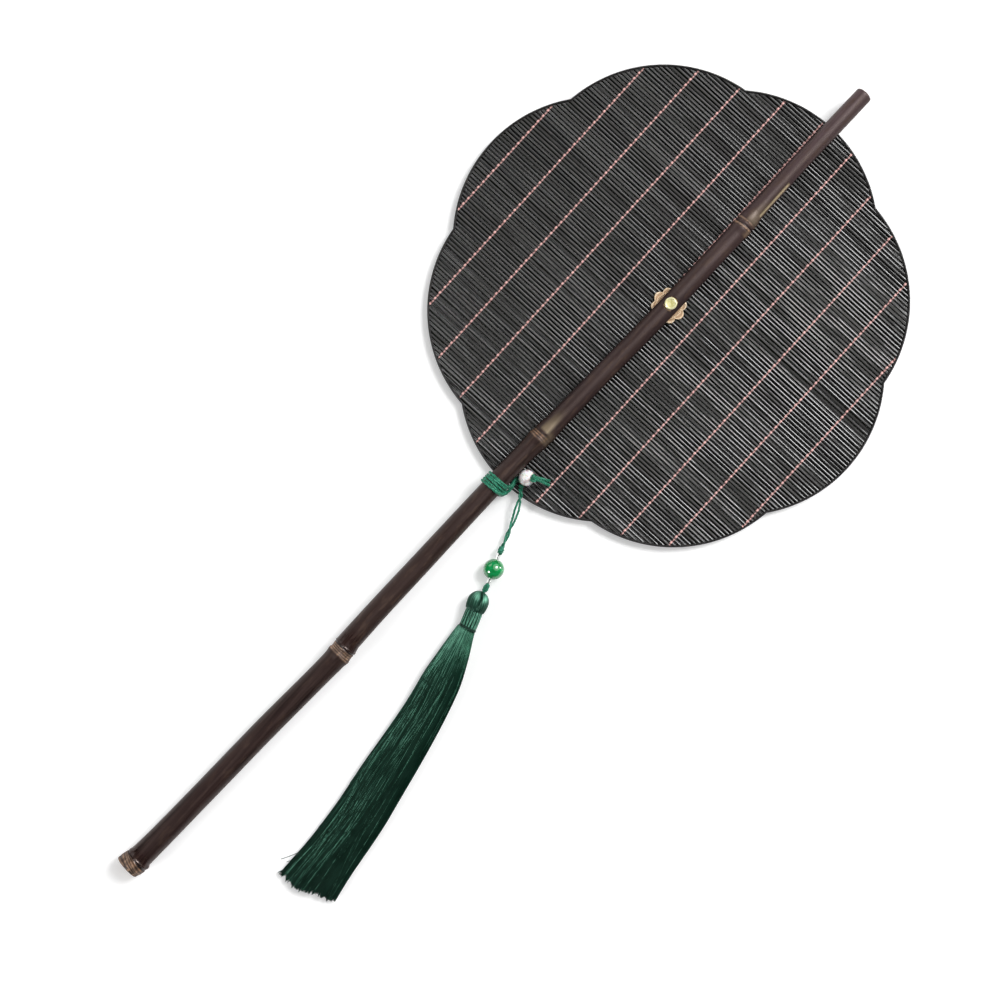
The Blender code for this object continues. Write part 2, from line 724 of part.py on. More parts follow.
slit_block = bmesh.new()
bmesh.ops.create_cube(slit_block, size=1.0)
slit_length = tassel_head_radius + cut_overrun
bmesh.ops.scale(slit_block, verts=slit_block.verts,
                vec=(slit_length, tassel_slit_width, tassel_slit_depth + cut_overrun))
slit = as_cutter(bmesh_object("head_slit", slit_block, cutters))
slit_turn = Matrix.Rotation(math.atan2(tassel_line.y, tassel_line.x), 4, "Z")
slit_height = tassel_head_radius - tassel_slit_depth + (tassel_slit_depth + cut_overrun) / 2
slit.matrix_world = (Matrix.Translation(head_place) @ slit_turn
                     @ Matrix.Translation((-slit_length / 2, 0.0, slit_height)))
cut(tassel_head, slit)

neck_top = head_place + (neck_start + seat_gap) * tassel_line
neck_bore = neck_radius - neck_wall
neck_edge = neck_wall / 3
turned("neck_binding", [
    (neck_bore, 0.0),
    (neck_radius - neck_edge, 0.0),
    (neck_radius, -neck_edge),
    (neck_radius, neck_edge - neck_length),
    (neck_radius - neck_edge, -neck_length),
    (neck_bore, -neck_length),
    (neck_bore, 0.0),
], green_silk, 24, -tassel_line, neck_top)


def skirt_ring(centre, heading, half_width, half_height, fold_share):
    """A folded oval section of the skirt, flat where it lies on the table."""
    across = Vector((-heading.y, heading.x, 0.0))
    ring = []
    for side in range(skirt_sides):
        angle = 2 * math.pi * side / skirt_sides
        fold = 1 + fold_share * math.cos(skirt_fold_count * angle)
        place = centre + fold * (half_width * math.cos(angle) * across
                                 + half_height * math.sin(angle) * Vector((0.0, 0.0, 1.0)))
        ring.append(Vector((place.x, place.y, max(place.z, 0.0))))
    return ring


plug_radius = neck_bore - seat_gap
skirt_top = neck_top + (neck_length + seat_gap) * tassel_line
skirt_rings = [skirt_ring(neck_top, tassel_line, plug_radius, plug_radius, 0.0),
               skirt_ring(skirt_top, tassel_line, plug_radius, plug_radius, 0.0)]
skirt_across = Vector((-tassel_line.y, tassel_line.x, 0.0))
skirt_line = [skirt_top + skirt_length * (along * tassel_line + drift * skirt_across)
              for along, drift, _, _ in skirt_shares]
for index, (_, _, width_share, height_share) in enumerate(skirt_shares):
    before, after = skirt_line[max(index - 1, 0)], skirt_line[min(index + 1, len(skirt_line) - 1)]
    half_height = skirt_height * height_share / 2
    centre = Vector((skirt_line[index].x, skirt_line[index].y, half_height))
    skirt_rings.append(skirt_ring(centre, (after - before).normalized(), skirt_hem_width * width_share / 2,
                                  half_height, skirt_fold_share))


def loft(name, rings, made):
    """A closed solid through rings of points."""
    bm = bmesh.new()
    loops = [[bm.verts.new(point) for point in ring] for ring in rings]
    for first, second in zip(loops, loops[1:]):
        for side in range(len(first)):
            after = (side + 1) % len(first)
            bm.faces.new((first[side], first[after], second[after], second[side]))
    bm.faces.new(loops[0])
    bm.faces.new(loops[-1])
    bmesh.ops.recalc_face_normals(bm, faces=bm.faces)
    return bmesh_object(name, bm, fan, made)


loft("tassel_skirt", skirt_rings, green_silk)

# Pivots: each moving group hangs from an empty on the axis that it turns about


def pivot(name, place, names):
    """An empty with the named pieces under it, left where they are."""
    holder = bpy.data.objects.new(name, None)
    holder.location = place
    fan.objects.link(holder)
    bpy.context.view_layer.update()
    for child in [bpy.data.objects[child_name] for child_name in names]:
        child.parent = holder
        child.matrix_parent_inverse = holder.matrix_world.inverted()
    return holder


thread_names = [f"warp_thread_{index + 1:02d}" for index in range(len(thread_lines))]
pivot("leaf_pivot", leaf_place, ["splint_mat", "leaf_rim"] + thread_names)
pivot("tassel_pivot", loop_place, ["tassel_head", "neck_binding", "tassel_skirt"])
pivot("pendant_pivot", hitch_place, [
    "pendant_strand_1", "pendant_strand_2", "upper_knot", "bead_thread", "clear_bead_1", "clear_bead_2",
    "green_bead", "tassel_loop", "tassel_pivot",
])
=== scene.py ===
import math

import bmesh
import bpy
import numpy as np
from mathutils import Matrix, Vector


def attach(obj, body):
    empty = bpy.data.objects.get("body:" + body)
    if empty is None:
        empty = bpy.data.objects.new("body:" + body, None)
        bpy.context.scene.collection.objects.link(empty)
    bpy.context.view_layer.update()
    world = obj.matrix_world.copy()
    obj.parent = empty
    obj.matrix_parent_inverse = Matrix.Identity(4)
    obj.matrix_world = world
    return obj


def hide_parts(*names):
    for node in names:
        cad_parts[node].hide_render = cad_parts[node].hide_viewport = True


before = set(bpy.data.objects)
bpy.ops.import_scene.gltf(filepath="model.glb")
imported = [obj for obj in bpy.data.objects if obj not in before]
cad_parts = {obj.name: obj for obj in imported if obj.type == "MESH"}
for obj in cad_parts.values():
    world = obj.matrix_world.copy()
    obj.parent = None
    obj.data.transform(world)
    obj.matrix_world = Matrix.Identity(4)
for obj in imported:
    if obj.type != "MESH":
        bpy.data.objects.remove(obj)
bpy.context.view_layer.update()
print("frame loaded:", len(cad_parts), "nodes")
mm = 0.001


def addObject(name, data):
    made = bpy.data.objects.new(name, data)
    bpy.context.scene.collection.objects.link(made)
    return made


# Camera: straight above the table, turned so that the picture's right is 42 degrees from the fan's X
cameraSettings = {"place": (0.0027, -0.0051, 0.95), "turn": 42.2, "lens": 68.4, "sensor": 36.0}
cameraData = bpy.data.cameras.new("camera")
cameraData.lens = cameraSettings["lens"]
cameraData.sensor_width = cameraSettings["sensor"]
camera = addObject("camera", cameraData)
camera.location = cameraSettings["place"]
camera.rotation_euler = (0, 0, math.radians(cameraSettings["turn"]))
bpy.context.scene.camera = camera
print("camera placed")


# Shared ways of making a piece

def place(name, mesh, material, body, slot, *replaced):
    piece = addObject(name, mesh)
    mesh.materials.clear()
    mesh.materials.append(material)
    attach(piece, body)
    if replaced:
        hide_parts(*replaced)
    return piece


def only(kind, parts):
    return [part for part in parts if isinstance(part, kind)]


def coordinates(mesh):
    spots = np.empty(len(mesh.vertices) * 3)
    mesh.vertices.foreach_get("co", spots)
    return spots.reshape(-1, 3)


def setCoordinates(mesh, spots):
    mesh.vertices.foreach_set("co", spots.reshape(-1))
    mesh.update()


def paint(mesh, **attributes):
    for name, values in attributes.items():
        mesh.attributes.new(name, "FLOAT", "POINT").data.foreach_set("value", values)


def distances(points):
    # how far along the line each of its points is
    return np.concatenate([[0], np.cumsum(np.linalg.norm(np.diff(points, axis=0), axis=1))])


def meshFrom(name, bm, sharpDegrees=50):
    mesh = bpy.data.meshes.new(name)
    bm.to_mesh(mesh)
    bm.free()
    mesh.shade_smooth()
    mesh.set_sharp_from_angle(angle=math.radians(sharpDegrees))
    return mesh


def applied(name, mesh, kind, **settings):
    # the mesh after one modifier
    holder = addObject(name, mesh)
    modifier = holder.modifiers.new(kind, kind)
    for key, value in settings.items():
        setattr(modifier, key, value)
    bpy.context.view_layer.update()
    made = bpy.data.meshes.new_from_object(holder.evaluated_get(bpy.context.evaluated_depsgraph_get()))
    bpy.data.objects.remove(holder, do_unlink=True)
    made.name = name
    return made


def rod(sides, rings):
    # a round rod along Z, from -0.5 to 0.5, cut across into rings
    bm = bmesh.new()
    bmesh.ops.create_cone(bm, cap_ends=True, segments=sides, radius1=1.0, radius2=1.0, depth=1.0)
    lengthwise = [edge for edge in bm.edges if abs(edge.verts[0].co.z - edge.verts[1].co.z) > 0.5]
    if rings > 2:
        bmesh.ops.subdivide_edges(bm, edges=lengthwise, cuts=rings - 2, use_grid_fill=True)
    mesh = bpy.data.meshes.new("rod")
    bm.to_mesh(mesh)
    bm.free()
    return mesh


def carried(paths, upright, steady=False):
    # directions along each path, and two across it that don't twist, or that keep to the upright one
    ahead = np.gradient(paths, axis=1)
    ahead /= np.linalg.norm(ahead, axis=2, keepdims=True)
    side = np.empty_like(paths)
    current = level = np.broadcast_to(np.array(upright, float), paths[:, 0].shape)
    for step in range(paths.shape[1]):
        current = level if steady else current
        current = current - (current * ahead[:, step]).sum(1, keepdims=True) * ahead[:, step]
        current = current / np.linalg.norm(current, axis=1, keepdims=True)
        side[:, step] = current
    return ahead, side, np.cross(ahead, side)


def sweep(name, paths, radii, sides=8, upright=(0, 0, 1), flat=(1.0, 1.0), squareness=1.0, roll=0.0, tones=0.5,
          steady=False, flank=False):
    # one rod bent along each path; flat scales its section beside the upright direction and along it
    paths = np.asarray(paths, float)
    if paths.ndim == 2:
        paths = paths[None]
    count, rings = paths.shape[:2]
    mesh = rod(sides, rings)
    unit = coordinates(mesh)
    if count > 1:
        mesh = applied(name, mesh, "ARRAY", count=count, use_relative_offset=False, use_constant_offset=True,
                       constant_offset_displace=(0, 0, 2))
    ring = np.rint((unit[:, 2] + 0.5) * (rings - 1)).astype(int)
    around = np.arctan2(unit[:, 1], unit[:, 0])
    across = np.sign(np.cos(around)) * np.abs(np.cos(around)) ** squareness * flat[1]
    beside = np.sign(np.sin(around)) * np.abs(np.sin(around)) ** squareness * flat[0]
    ahead, side, other = carried(paths, upright, steady)
    turn = np.broadcast_to(roll, (count, rings))[:, ring]
    reach = np.broadcast_to(radii, (count, rings))[:, ring]
    first = (across * np.cos(turn) - beside * np.sin(turn)) * reach
    second = (across * np.sin(turn) + beside * np.cos(turn)) * reach
    spots = paths[:, ring] + first[..., None] * side[:, ring] + second[..., None] * other[:, ring]
    mesh.vertices.foreach_set("co", spots.reshape(-1))
    tones = np.asarray(tones, float)
    tones = np.broadcast_to(tones[:, None] if tones.ndim == 1 else tones, (count, rings))
    paint(mesh, along=np.tile(ring / (rings - 1), count), tone=tones[:, ring].reshape(-1))
    if flank:
        paint(mesh, flank=np.tile(np.abs(np.sin(around)), count))
    mesh.shade_smooth()
    mesh.set_sharp_from_angle(angle=math.radians(60))
    mesh.update()
    return mesh


def smoothRoute(guides, step):
    # points spread evenly on a smooth curve through the guide points
    guides = np.array([tuple(guide) for guide in guides], float)
    ends = np.vstack([2 * guides[0] - guides[1], guides, 2 * guides[-1] - guides[-2]])
    fine = []
    for a, b, c, d in zip(ends, ends[1:], ends[2:], ends[3:]):
        for t in np.linspace(0, 1, 24, endpoint=False):
            fine.append(0.5 * (2 * b + (c - a) * t + (2 * a - 5 * b + 4 * c - d) * t ** 2
                               + (3 * b - a - 3 * c + d) * t ** 3))
    fine.append(guides[-1])
    fine = np.array(fine)
    reach = distances(fine)
    wanted = np.linspace(0, reach[-1], max(int(round(reach[-1] / step)) + 1, 4))
    return np.stack([np.interp(wanted, reach, fine[:, axis]) for axis in range(3)], axis=1)


def routeLength(route):
    return float(np.linalg.norm(np.diff(route, axis=0), axis=1).sum())


def pliedPaths(route, diameter, plies, lay):
    # the plies of a laid cord, wound round its route
    _, side, other = (part[0] for part in carried(route[None], (0, 0, 1)))
    plyRadius = diameter / 2 / (1 + 1 / math.sin(math.pi / plies)) * (1.12 if plies > 2 else 1.0)
    offset = diameter / 2 - plyRadius
    paths = []
    for ply in range(plies):
        turn = 2 * math.pi * (distances(route) / lay + ply / plies)
        paths.append(route + offset * (np.cos(turn)[:, None] * side + np.sin(turn)[:, None] * other))
    return np.array(paths), plyRadius


# Shader parts that several materials share; making holds the tree, shader and spot of the one being made

making = {}


def put(kind, props=None, **feeds):
    made = making["tree"].nodes.new(kind)
    for key, value in (props or {}).items():
        setattr(made, key, value)
    for key, value in feeds.items():
        socket = made.inputs[int(key[1:])] if key[1:].isdigit() else made.inputs[key.replace("_", " ")]
        if isinstance(value, bpy.types.NodeSocket):
            making["tree"].links.new(value, socket)
        else:
            socket.default_value = value
    return made


# stretched noise, as the fibres of bamboo or silk
fibreField = bpy.data.node_groups.new("fibreField", "ShaderNodeTree")
for label, kind, value in (("Place", "NodeSocketVector", (0, 0, 0)), ("Stretch", "NodeSocketVector", (1, 1, 1)),
                           ("Low", "NodeSocketFloat", 0.35), ("High", "NodeSocketFloat", 0.65)):
    fibreField.interface.new_socket(label, in_out="INPUT", socket_type=kind).default_value = value
fibreField.interface.new_socket("Value", in_out="OUTPUT", socket_type="NodeSocketFloat")
making["tree"] = fibreField
fibreIn = put("NodeGroupInput").outputs
stretched = put("ShaderNodeVectorMath", {"operation": "MULTIPLY"}, i0=fibreIn["Place"], i1=fibreIn["Stretch"])
fibreNoise = put("ShaderNodeTexNoise", Vector=stretched.outputs[0], Scale=1.0, Detail=3.0, Roughness=0.6)
fibreRange = put("ShaderNodeMapRange", {"interpolation_type": "SMOOTHSTEP"}, Value=fibreNoise.outputs[0],
                 From_Min=fibreIn["Low"], From_Max=fibreIn["High"])
put("NodeGroupOutput", Value=fibreRange.outputs[0])


def fibres(stretch, low=0.35, high=0.65):
    stretch = stretch if isinstance(stretch, tuple) else (stretch, stretch, stretch)
    made = put("ShaderNodeGroup", {"node_tree": fibreField}, Place=making["spot"], Stretch=stretch, Low=low, High=high)
    return made.outputs["Value"]


def blend(amount, first, second):
    feeds = {f"i{index}": (*value, 1.0) if isinstance(value, tuple) else value
             for index, value in ((0, amount), (6, first), (7, second))}
    return put("ShaderNodeMix", {"data_type": "RGBA"}, **feeds).outputs[2]


def maths(operation, first, second=0.0, clamp=False):
    return put("ShaderNodeMath", {"operation": operation, "use_clamp": clamp}, i0=first, i1=second).outputs[0]


def times(first, second):
    return maths("MULTIPLY", first, second)


def scaled(value, low=0.0, high=1.0, start=0.0, end=1.0):
    # value, which runs from start to end, brought to run from low to high
    return put("ShaderNodeMapRange", Value=value, From_Min=start, From_Max=end, To_Min=low, To_Max=high).outputs[0]


def attribute(name):
    return put("ShaderNodeAttribute", {"attribute_name": name}).outputs["Fac"]


def newMaterial(name, **settings):
    made = bpy.data.materials.new(name)
    made.use_nodes = True
    making["tree"] = made.node_tree
    making["shader"] = made.node_tree.nodes["Principled BSDF"]
    making["spot"] = put("ShaderNodeTexCoord").outputs["Object"]
    for key, value in settings.items():
        making["shader"].inputs[key.replace("_", " ")].default_value = value
    return made


def feed(**sockets):
    for key, socket in sockets.items():
        making["tree"].links.new(socket, making["shader"].inputs[key.replace("_", " ")])


def bump(height, strength, distance):
    feed(Normal=put("ShaderNodeBump", Strength=strength, Distance=distance, Height=height).outputs[0])


# Green cord: dyed, slightly glossy
cordMaterial = newMaterial(
    "greenCord", Roughness=0.42, Specular_IOR_Level=0.6, Specular_Tint=(0.6, 1.0, 0.8, 1), Sheen_Weight=0.2,
    Sheen_Roughness=0.4, Sheen_Tint=(0.35, 0.9, 0.65, 1))
strand = fibres(2600, 0.3, 0.7)
worn = fibres(520, 0.45, 0.65)
colour = blend(strand, (0.009, 0.105, 0.058), (0.024, 0.200, 0.118))
colour = blend(times(worn, 0.6), colour, (0.045, 0.32, 0.200))
feed(Base_Color=colour, Roughness=scaled(strand, 0.34, 0.52))
bump(strand, 0.2, 0.00006)


def layCord(name, guides, settings, body, *replaced, material=cordMaterial, slot="green_cord", tones=(0.3, 0.7)):
    # a laid cord through the guide points, as a piece with its route
    route = smoothRoute(guides, settings["lay"] / 9)
    paths, plyRadius = pliedPaths(route, settings["diameter"], settings["plies"], settings["lay"])
    mesh = sweep(name, paths, plyRadius, 6, tones=np.linspace(*tones, settings["plies"]))
    return place(name, mesh, material, body, slot, *replaced), route


# Pendant cord: two limp strands that leave the hitch under the white bead and end in the knot over the beads
pendantCord = {
    "diameter": 0.00125,
    "plies": 3,
    "lay": 0.0062,
    "strandOne": ((7.08, 6.0, 6.5), (9.14, 3.88, 6.4), (11.96, -1.07, 6.2), (14.45, -5.8, 5.1), (16.47, -10.55, 3.6),
                  (18.05, -15.2, 3.1), (19.2, -19.29, 3.8), (20.05, -22.48, 5.1)),
    "strandTwo": ((5.99, 5.57, 6.5), (8.06, 3.45, 6.4), (10.64, -1.6, 6.2), (12.75, -6.47, 5.1),
                  (14.53, -11.32, 3.6), (16.35, -15.87, 3.1), (18.0, -19.77, 3.8), (18.96, -22.91, 5.1)),
    # share of the way, half the distance between the strands, and turns they make about each other
    "pairing": ((0.0, 0.56, 0.0), (0.12, 0.58, 0.6), (0.22, 0.68, 1.0), (0.34, 1.00, 1.0), (0.45, 0.80, 1.0),
                (0.54, 0.62, 1.0), (0.76, 0.58, 1.5), (1.0, 0.56, 2.0)),
    "step": 0.00033,
}
strandOne, strandTwo = (mm * np.array(pendantCord[key]) for key in ("strandOne", "strandTwo"))
middleRoute = smoothRoute((strandOne + strandTwo) / 2, pendantCord["step"])
_, strandSide, strandUp = (part[0] for part in carried(middleRoute[None], (0, 0, 1), steady=True))
share = np.linspace(0, 1, len(middleRoute))
pairShare, pairGap, pairTurns = np.array(pendantCord["pairing"]).T
halfGap = np.interp(share, pairShare, pairGap) * mm
wound = 2 * math.pi * np.interp(share, pairShare, pairTurns)
apart = halfGap[:, None] * (np.cos(wound)[:, None] * strandUp + np.sin(wound)[:, None] * strandSide)
pendantStrands = [layCord(f"pendantCord{number}", middleRoute + sign * apart, pendantCord, "pendant",
                          f"pendant_strand_{number}") for number, sign in ((1, 1), (2, -1))]
print("pendant cord made:", [round(routeLength(route) / mm, 1) for _, route in pendantStrands], "mm")


# More shared ways of making a piece

def turned(profile, axis=(0, 0, 1), middle=(0, 0, 0), steps=48, closed=False, rounding=0.0):
    # a profile of (radius, height) in millimetres, spun about an axis
    bm = bmesh.new()
    spots = [bm.verts.new((radius * mm, 0, height * mm)) for radius, height in profile]
    lines = [bm.edges.new(pair) for pair in zip(spots, spots[1:] + spots[:1] if closed else spots[1:])]
    bmesh.ops.spin(bm, geom=spots + lines, cent=(0, 0, 0), axis=(0, 0, 1), angle=2 * math.pi, steps=steps,
                   use_merge=True, use_duplicate=False)
    bmesh.ops.remove_doubles(bm, verts=bm.verts, dist=1e-7)
    bmesh.ops.recalc_face_normals(bm, faces=bm.faces)
    if rounding:
        corners = [edge for edge in bm.edges if len(edge.link_faces) == 2 and edge.calc_face_angle() > 0.6]
        bmesh.ops.bevel(bm, geom=corners, offset=rounding, affect="EDGES", segments=3, profile=0.5, material=-1)
    facing = Vector((0, 0, 1)).rotation_difference(Vector(axis)).to_matrix().to_4x4()
    bmesh.ops.transform(bm, matrix=Matrix.Translation(Vector(middle) * mm) @ facing, verts=bm.verts)
    return bm


def smoothThrough(stations, values, wanted):
    # a curve through the values that doesn't overshoot them
    stations, values = np.array(stations, float), np.array(values, float)
    slopes = np.diff(values) / np.diff(stations)
    together = slopes[:-1] * slopes[1:]
    total = np.where(together > 0, slopes[:-1] + slopes[1:], 1)
    inner = np.where(together > 0, 2 * together / total, 0)
    tangents = np.concatenate([[slopes[0]], inner, [slopes[-1]]])
    index = np.clip(np.searchsorted(stations, wanted) - 1, 0, len(stations) - 2)
    step = stations[index + 1] - stations[index]
    t = np.clip((wanted - stations[index]) / step, 0, 1)
    return ((2 * t ** 3 - 3 * t ** 2 + 1) * values[index] + (t ** 3 - 2 * t ** 2 + t) * step * tangents[index]
            + (3 * t ** 2 - 2 * t ** 3) * values[index + 1] + (t ** 3 - t ** 2) * step * tangents[index + 1])


def smoothField(dice, rows, columns, spread):
    # random numbers that change slowly from row to row and from column to column
    field = dice.standard_normal((rows, columns))
    for axis, width in enumerate(spread):
        if width:
            far = 3 * width
            kernel = np.exp(-0.5 * (np.arange(-far, far + 1) / width) ** 2)
            padded = np.pad(field, [(far, far) if each == axis else (0, 0) for each in (0, 1)], mode="reflect")
            field = np.apply_along_axis(lambda row: np.convolve(row, kernel, mode="valid"), axis, padded)
    return field / field.std()


# Leaf outline: eight shallow lobes round the rivet

leafShape = {"middle": (0.0, 122.867, 3.6), "lobes": 8, "arcRadius": 71.024, "arcCentre": 49.276}
leafMiddle = mm * np.array(leafShape["middle"])
lobeTurns = 2 * math.pi * np.arange(leafShape["lobes"]) / leafShape["lobes"]


def leafReach(across, inset):
    # how far the leaf reaches at a distance from its middle line, along X or Y alike
    radius = leafShape["arcRadius"] * mm - inset
    centre = leafShape["arcCentre"] * mm
    offset = np.asarray(across)[..., None] - centre * np.sin(lobeTurns)
    reach = centre * np.cos(lobeTurns) + np.sqrt(np.maximum(radius ** 2 - offset ** 2, 0))
    return np.where(np.abs(offset) < radius, reach, 0).max(-1)


# Bamboo splints, dyed black: streaks along the splint, worn and matt patches, and flanks painted near black as shade
# in the gaps between splints
splintMaterial = newMaterial("dyedSplint", Roughness=0.25, Specular_IOR_Level=0.8)
grain = fibres((50, 1100, 600), 0.3, 0.7)
patch = fibres((26, 190, 90), 0.43, 0.60)
splintTone = attribute("tone")
# the flanks: matt as split sides are, and painted shade, with a darker colour and Metallic on the near-black colour,
# so the gaps between splints read as deep shade
splitSide = times(scaled(attribute("flank"), start=0.42, end=0.74), scaled(patch, 1.0, 0.7))
colour = blend(splintTone, (0.0016, 0.0014, 0.0013), (0.006, 0.0055, 0.0052))
colour = blend(times(patch, scaled(grain, 0.35, 1.0)), colour, (0.016, 0.015, 0.013))
colour = blend(splitSide, colour, (0.0012, 0.0011, 0.0010))
rough = maths("ADD", scaled(patch, 0.21, 0.50), scaled(splintTone, -0.03, 0.08))
rough = maths("ADD", rough, scaled(splitSide, 0.0, 0.5), True)
# Metallic: painted shade on the flanks, and a little dulling of the matt patches
unpolished = maths("ADD", splitSide, scaled(patch, 0.0, 0.28), True)
feed(Base_Color=colour, Roughness=rough, Metallic=unpolished)
bump(grain, 0.10, 0.00006)

splints = {
    "pitch": 1.845,
    "first": -67.31,  # pitches from the rivet to the first splint's edge
    "count": 134,
    "least": 0.25,  # that the outermost splints stay inside the leaf
    "width": 1.83,
    "height": 1.40,
    "squareness": 0.94,
    "edgeInset": 0.65,
    # rings along a splint, closer together at the rivet
    "rings": ((-1, -0.06, 20), (-0.04, 0.04, 7), (0.06, 1, 20)),
    "waver": 0.040,
    "tilt": (3.6, 1.1),  # degrees along a splint, and how much more from one to the next
    "swell": 0.015,
    "tones": (0.5, 0.25),
    "parting": 1.5,  # half gap of the splint that the rivet goes through
    # how far that splint's neighbour is pushed aside, the share that the next one takes, and over what length
    "pushed": (0.55, 0.6, 4),
}
dice = np.random.default_rng(11)
count = splints["count"]
outermost = leafReach(0.0, splints["edgeInset"] * mm)
middles = (splints["first"] + 0.5 + np.arange(count)) * splints["pitch"] * mm
rings = np.concatenate([np.linspace(*part) for part in splints["rings"]])
waver = smoothField(dice, count, len(rings), (2, 4)) * splints["waver"] * mm
lift = smoothField(dice, count, len(rings), (0, 4)) * splints["waver"] * mm
tilt = np.radians(splints["tilt"][0]) * (smoothField(dice, count, len(rings), (0, 6))
                                         + splints["tilt"][1] * dice.standard_normal((count, 1)))
swell = 1 + splints["swell"] * smoothField(dice, count, len(rings), (0, 4))
tones = np.clip(splints["tones"][0] + splints["tones"][1] * dice.standard_normal(count), 0, 1)
pierced = int(np.argmin(np.abs(middles)))
gap = splints["parting"] * mm / outermost
chosen, spread = [], []
for number in np.flatnonzero(np.abs(middles) < outermost - splints["least"] * mm):
    for low, high in ((-1, 1),) if number != pierced else ((-1, -gap), (gap, 1)):
        chosen.append(number)
        spread.append(low + (rings + 1) / 2 * (high - low))
chosen = np.array(chosen)
paths = np.stack([np.array(spread) * outermost, middles[chosen, None] + waver[chosen],
                  leafMiddle[2] + lift[chosen]], axis=2)
aside = np.where(chosen < pierced, pierced - chosen, count)[:, None]
push, passedOn, pushLength = splints["pushed"]
paths[..., 1] -= push * mm * passedOn ** (aside - 1) * np.exp(-(paths[..., 0] / (pushLength * mm)) ** 2)
mesh = sweep("splints", paths, swell[chosen], 12, flat=(splints["width"] * mm / 2, splints["height"] * mm / 2),
             squareness=splints["squareness"], roll=tilt[chosen], tones=tones[chosen], flank=True)
spots = coordinates(mesh)
spots[:, 1] = np.clip(spots[:, 1], -outermost, outermost)
spots[:, 0] *= leafReach(spots[:, 1], splints["edgeInset"] * mm) / outermost
spots[:, 1] += leafMiddle[1]
setCoordinates(mesh, spots)
place("splints", mesh, splintMaterial, "leaf", "black_bamboo", "splint_mat")
print("splints made:", len(chosen))

# Warp threads: two yarns a line, one over the even splints and one over the odd, each with a painted highlight where
# it rides over a splint and painted shade where it dips beneath
threadMaterial = newMaterial("redThread", Roughness=0.62)
ply = fibres(3200)
yarnTone = attribute("tone")
# painted highlight and shade on each yarn's own tone: pale where it rides over a splint, dark where it dips beneath
# the next, with its plies paler still on top
colour = blend(yarnTone, (0.07, 0.012, 0.014), (0.86, 0.46, 0.43))
colour = blend(times(ply, times(yarnTone, 0.5)), colour, (0.95, 0.70, 0.64))
feed(Base_Color=colour)
bump(ply, 0.3, 0.00004)

warpThreads = {
    "first": -109.8,
    "spacing": 21.1,
    "count": 11,
    "sink": 1.1,  # inside the leaf's edge
    "yarns": (
        {"offset": -0.08, "radius": 0.52, "over": 0, "tone": 0.95},
        {"offset": 0.10, "radius": 0.36, "over": 1, "tone": 0.6},
    ),
    "flatness": 0.42,
    "bedding": 0.9,  # share of the yarn's half height that it lies above the splints
    "squareness": 0.8,
    # how sharply the painted highlight gives way to painted shade as a yarn dips
    "fading": 1.3,
    "drift": (0.05, 2.1, 3),  # how far, and its phase from splint to splint and from line to line
    "steps": 8,
}
pitch = splints["pitch"] * mm
driftReach, driftPhase, driftStart = warpThreads["drift"]
for number in range(warpThreads["count"]):
    x = (warpThreads["first"] + number * warpThreads["spacing"]) * mm
    far = float(leafReach(x, warpThreads["sink"] * mm))
    y = np.arange(-far, far, pitch / warpThreads["steps"])
    paths, radii, tones = [], [], []
    for yarn in warpThreads["yarns"]:
        phase = y / pitch - splints["first"] - 0.5 + yarn["over"]
        wave = np.cos(math.pi * phase)
        radius = yarn["radius"] * mm
        peak = splints["height"] * mm / 2 + radius * warpThreads["flatness"] * warpThreads["bedding"]
        height = np.sign(wave) * np.abs(wave) ** warpThreads["squareness"] * peak
        drift = driftReach * mm * np.sin(driftPhase * phase + driftStart * number)
        paths.append(np.stack([x + yarn["offset"] * mm + drift, leafMiddle[1] + y, leafMiddle[2] + height], axis=1))
        radii.append(np.full(len(y), radius))
        # painted highlight and shade: the tone follows the yarn over and beneath the splints
        tones.append(yarn["tone"] * np.clip(wave, 0, 1) ** warpThreads["fading"])
    name = f"warpThread{number + 1:02d}"
    mesh = sweep(name, paths, np.array(radii), 8, upright=(1, 0, 0), flat=(warpThreads["flatness"], 1.0),
                 steady=True, tones=np.array(tones))
    place(name, mesh, threadMaterial, "leaf", "red_thread", f"warp_thread_{number + 1:02d}")
print("warp threads made")

# Rim: a rounded edging spun round one lobe, cut off where the lobes meet and repeated
rimMaterial = newMaterial("blackEdging", Roughness=0.5, Specular_IOR_Level=0.4)
weave = fibres(1500, 0.3, 0.7)
wear = fibres(260, 0.58, 0.75)
feed(Base_Color=blend(wear, (0.008, 0.007, 0.007), (0.035, 0.028, 0.024)),
     Roughness=scaled(weave, 0.42, 0.62))
bump(weave, 0.4, 0.00006)

rim = {"width": 1.15, "height": 2.7, "arc": 78, "steps": 56, "sides": 16, "squareness": 0.72}
bm = bmesh.new()
bmesh.ops.create_circle(bm, segments=rim["sides"], radius=1.0)
for vert in bm.verts:
    across, up = (math.copysign(abs(share) ** rim["squareness"], share) for share in vert.co.xy)
    middle = leafShape["arcRadius"] - rim["width"] / 2
    vert.co = ((middle + across * rim["width"] / 2) * mm, 0, up * rim["height"] * mm / 2)
bmesh.ops.rotate(bm, cent=(0, 0, 0), matrix=Matrix.Rotation(-math.radians(rim["arc"] / 2), 3, "Z"), verts=bm.verts)
bmesh.ops.spin(bm, geom=bm.verts[:] + bm.edges[:], cent=(0, 0, 0), axis=(0, 0, 1),
               angle=math.radians(rim["arc"]), steps=rim["steps"], use_duplicate=False)
bmesh.ops.translate(bm, vec=(leafShape["arcCentre"] * mm, 0, 0), verts=bm.verts)
halfTurn = math.pi / leafShape["lobes"]
for side in (1, -1):
    bmesh.ops.bisect_plane(bm, geom=bm.verts[:] + bm.edges[:] + bm.faces[:], dist=1e-7, plane_co=(0, 0, 0),
                           plane_no=(-math.sin(halfTurn), side * math.cos(halfTurn), 0), clear_outer=True)
lobe = bm.verts[:] + bm.edges[:] + bm.faces[:]
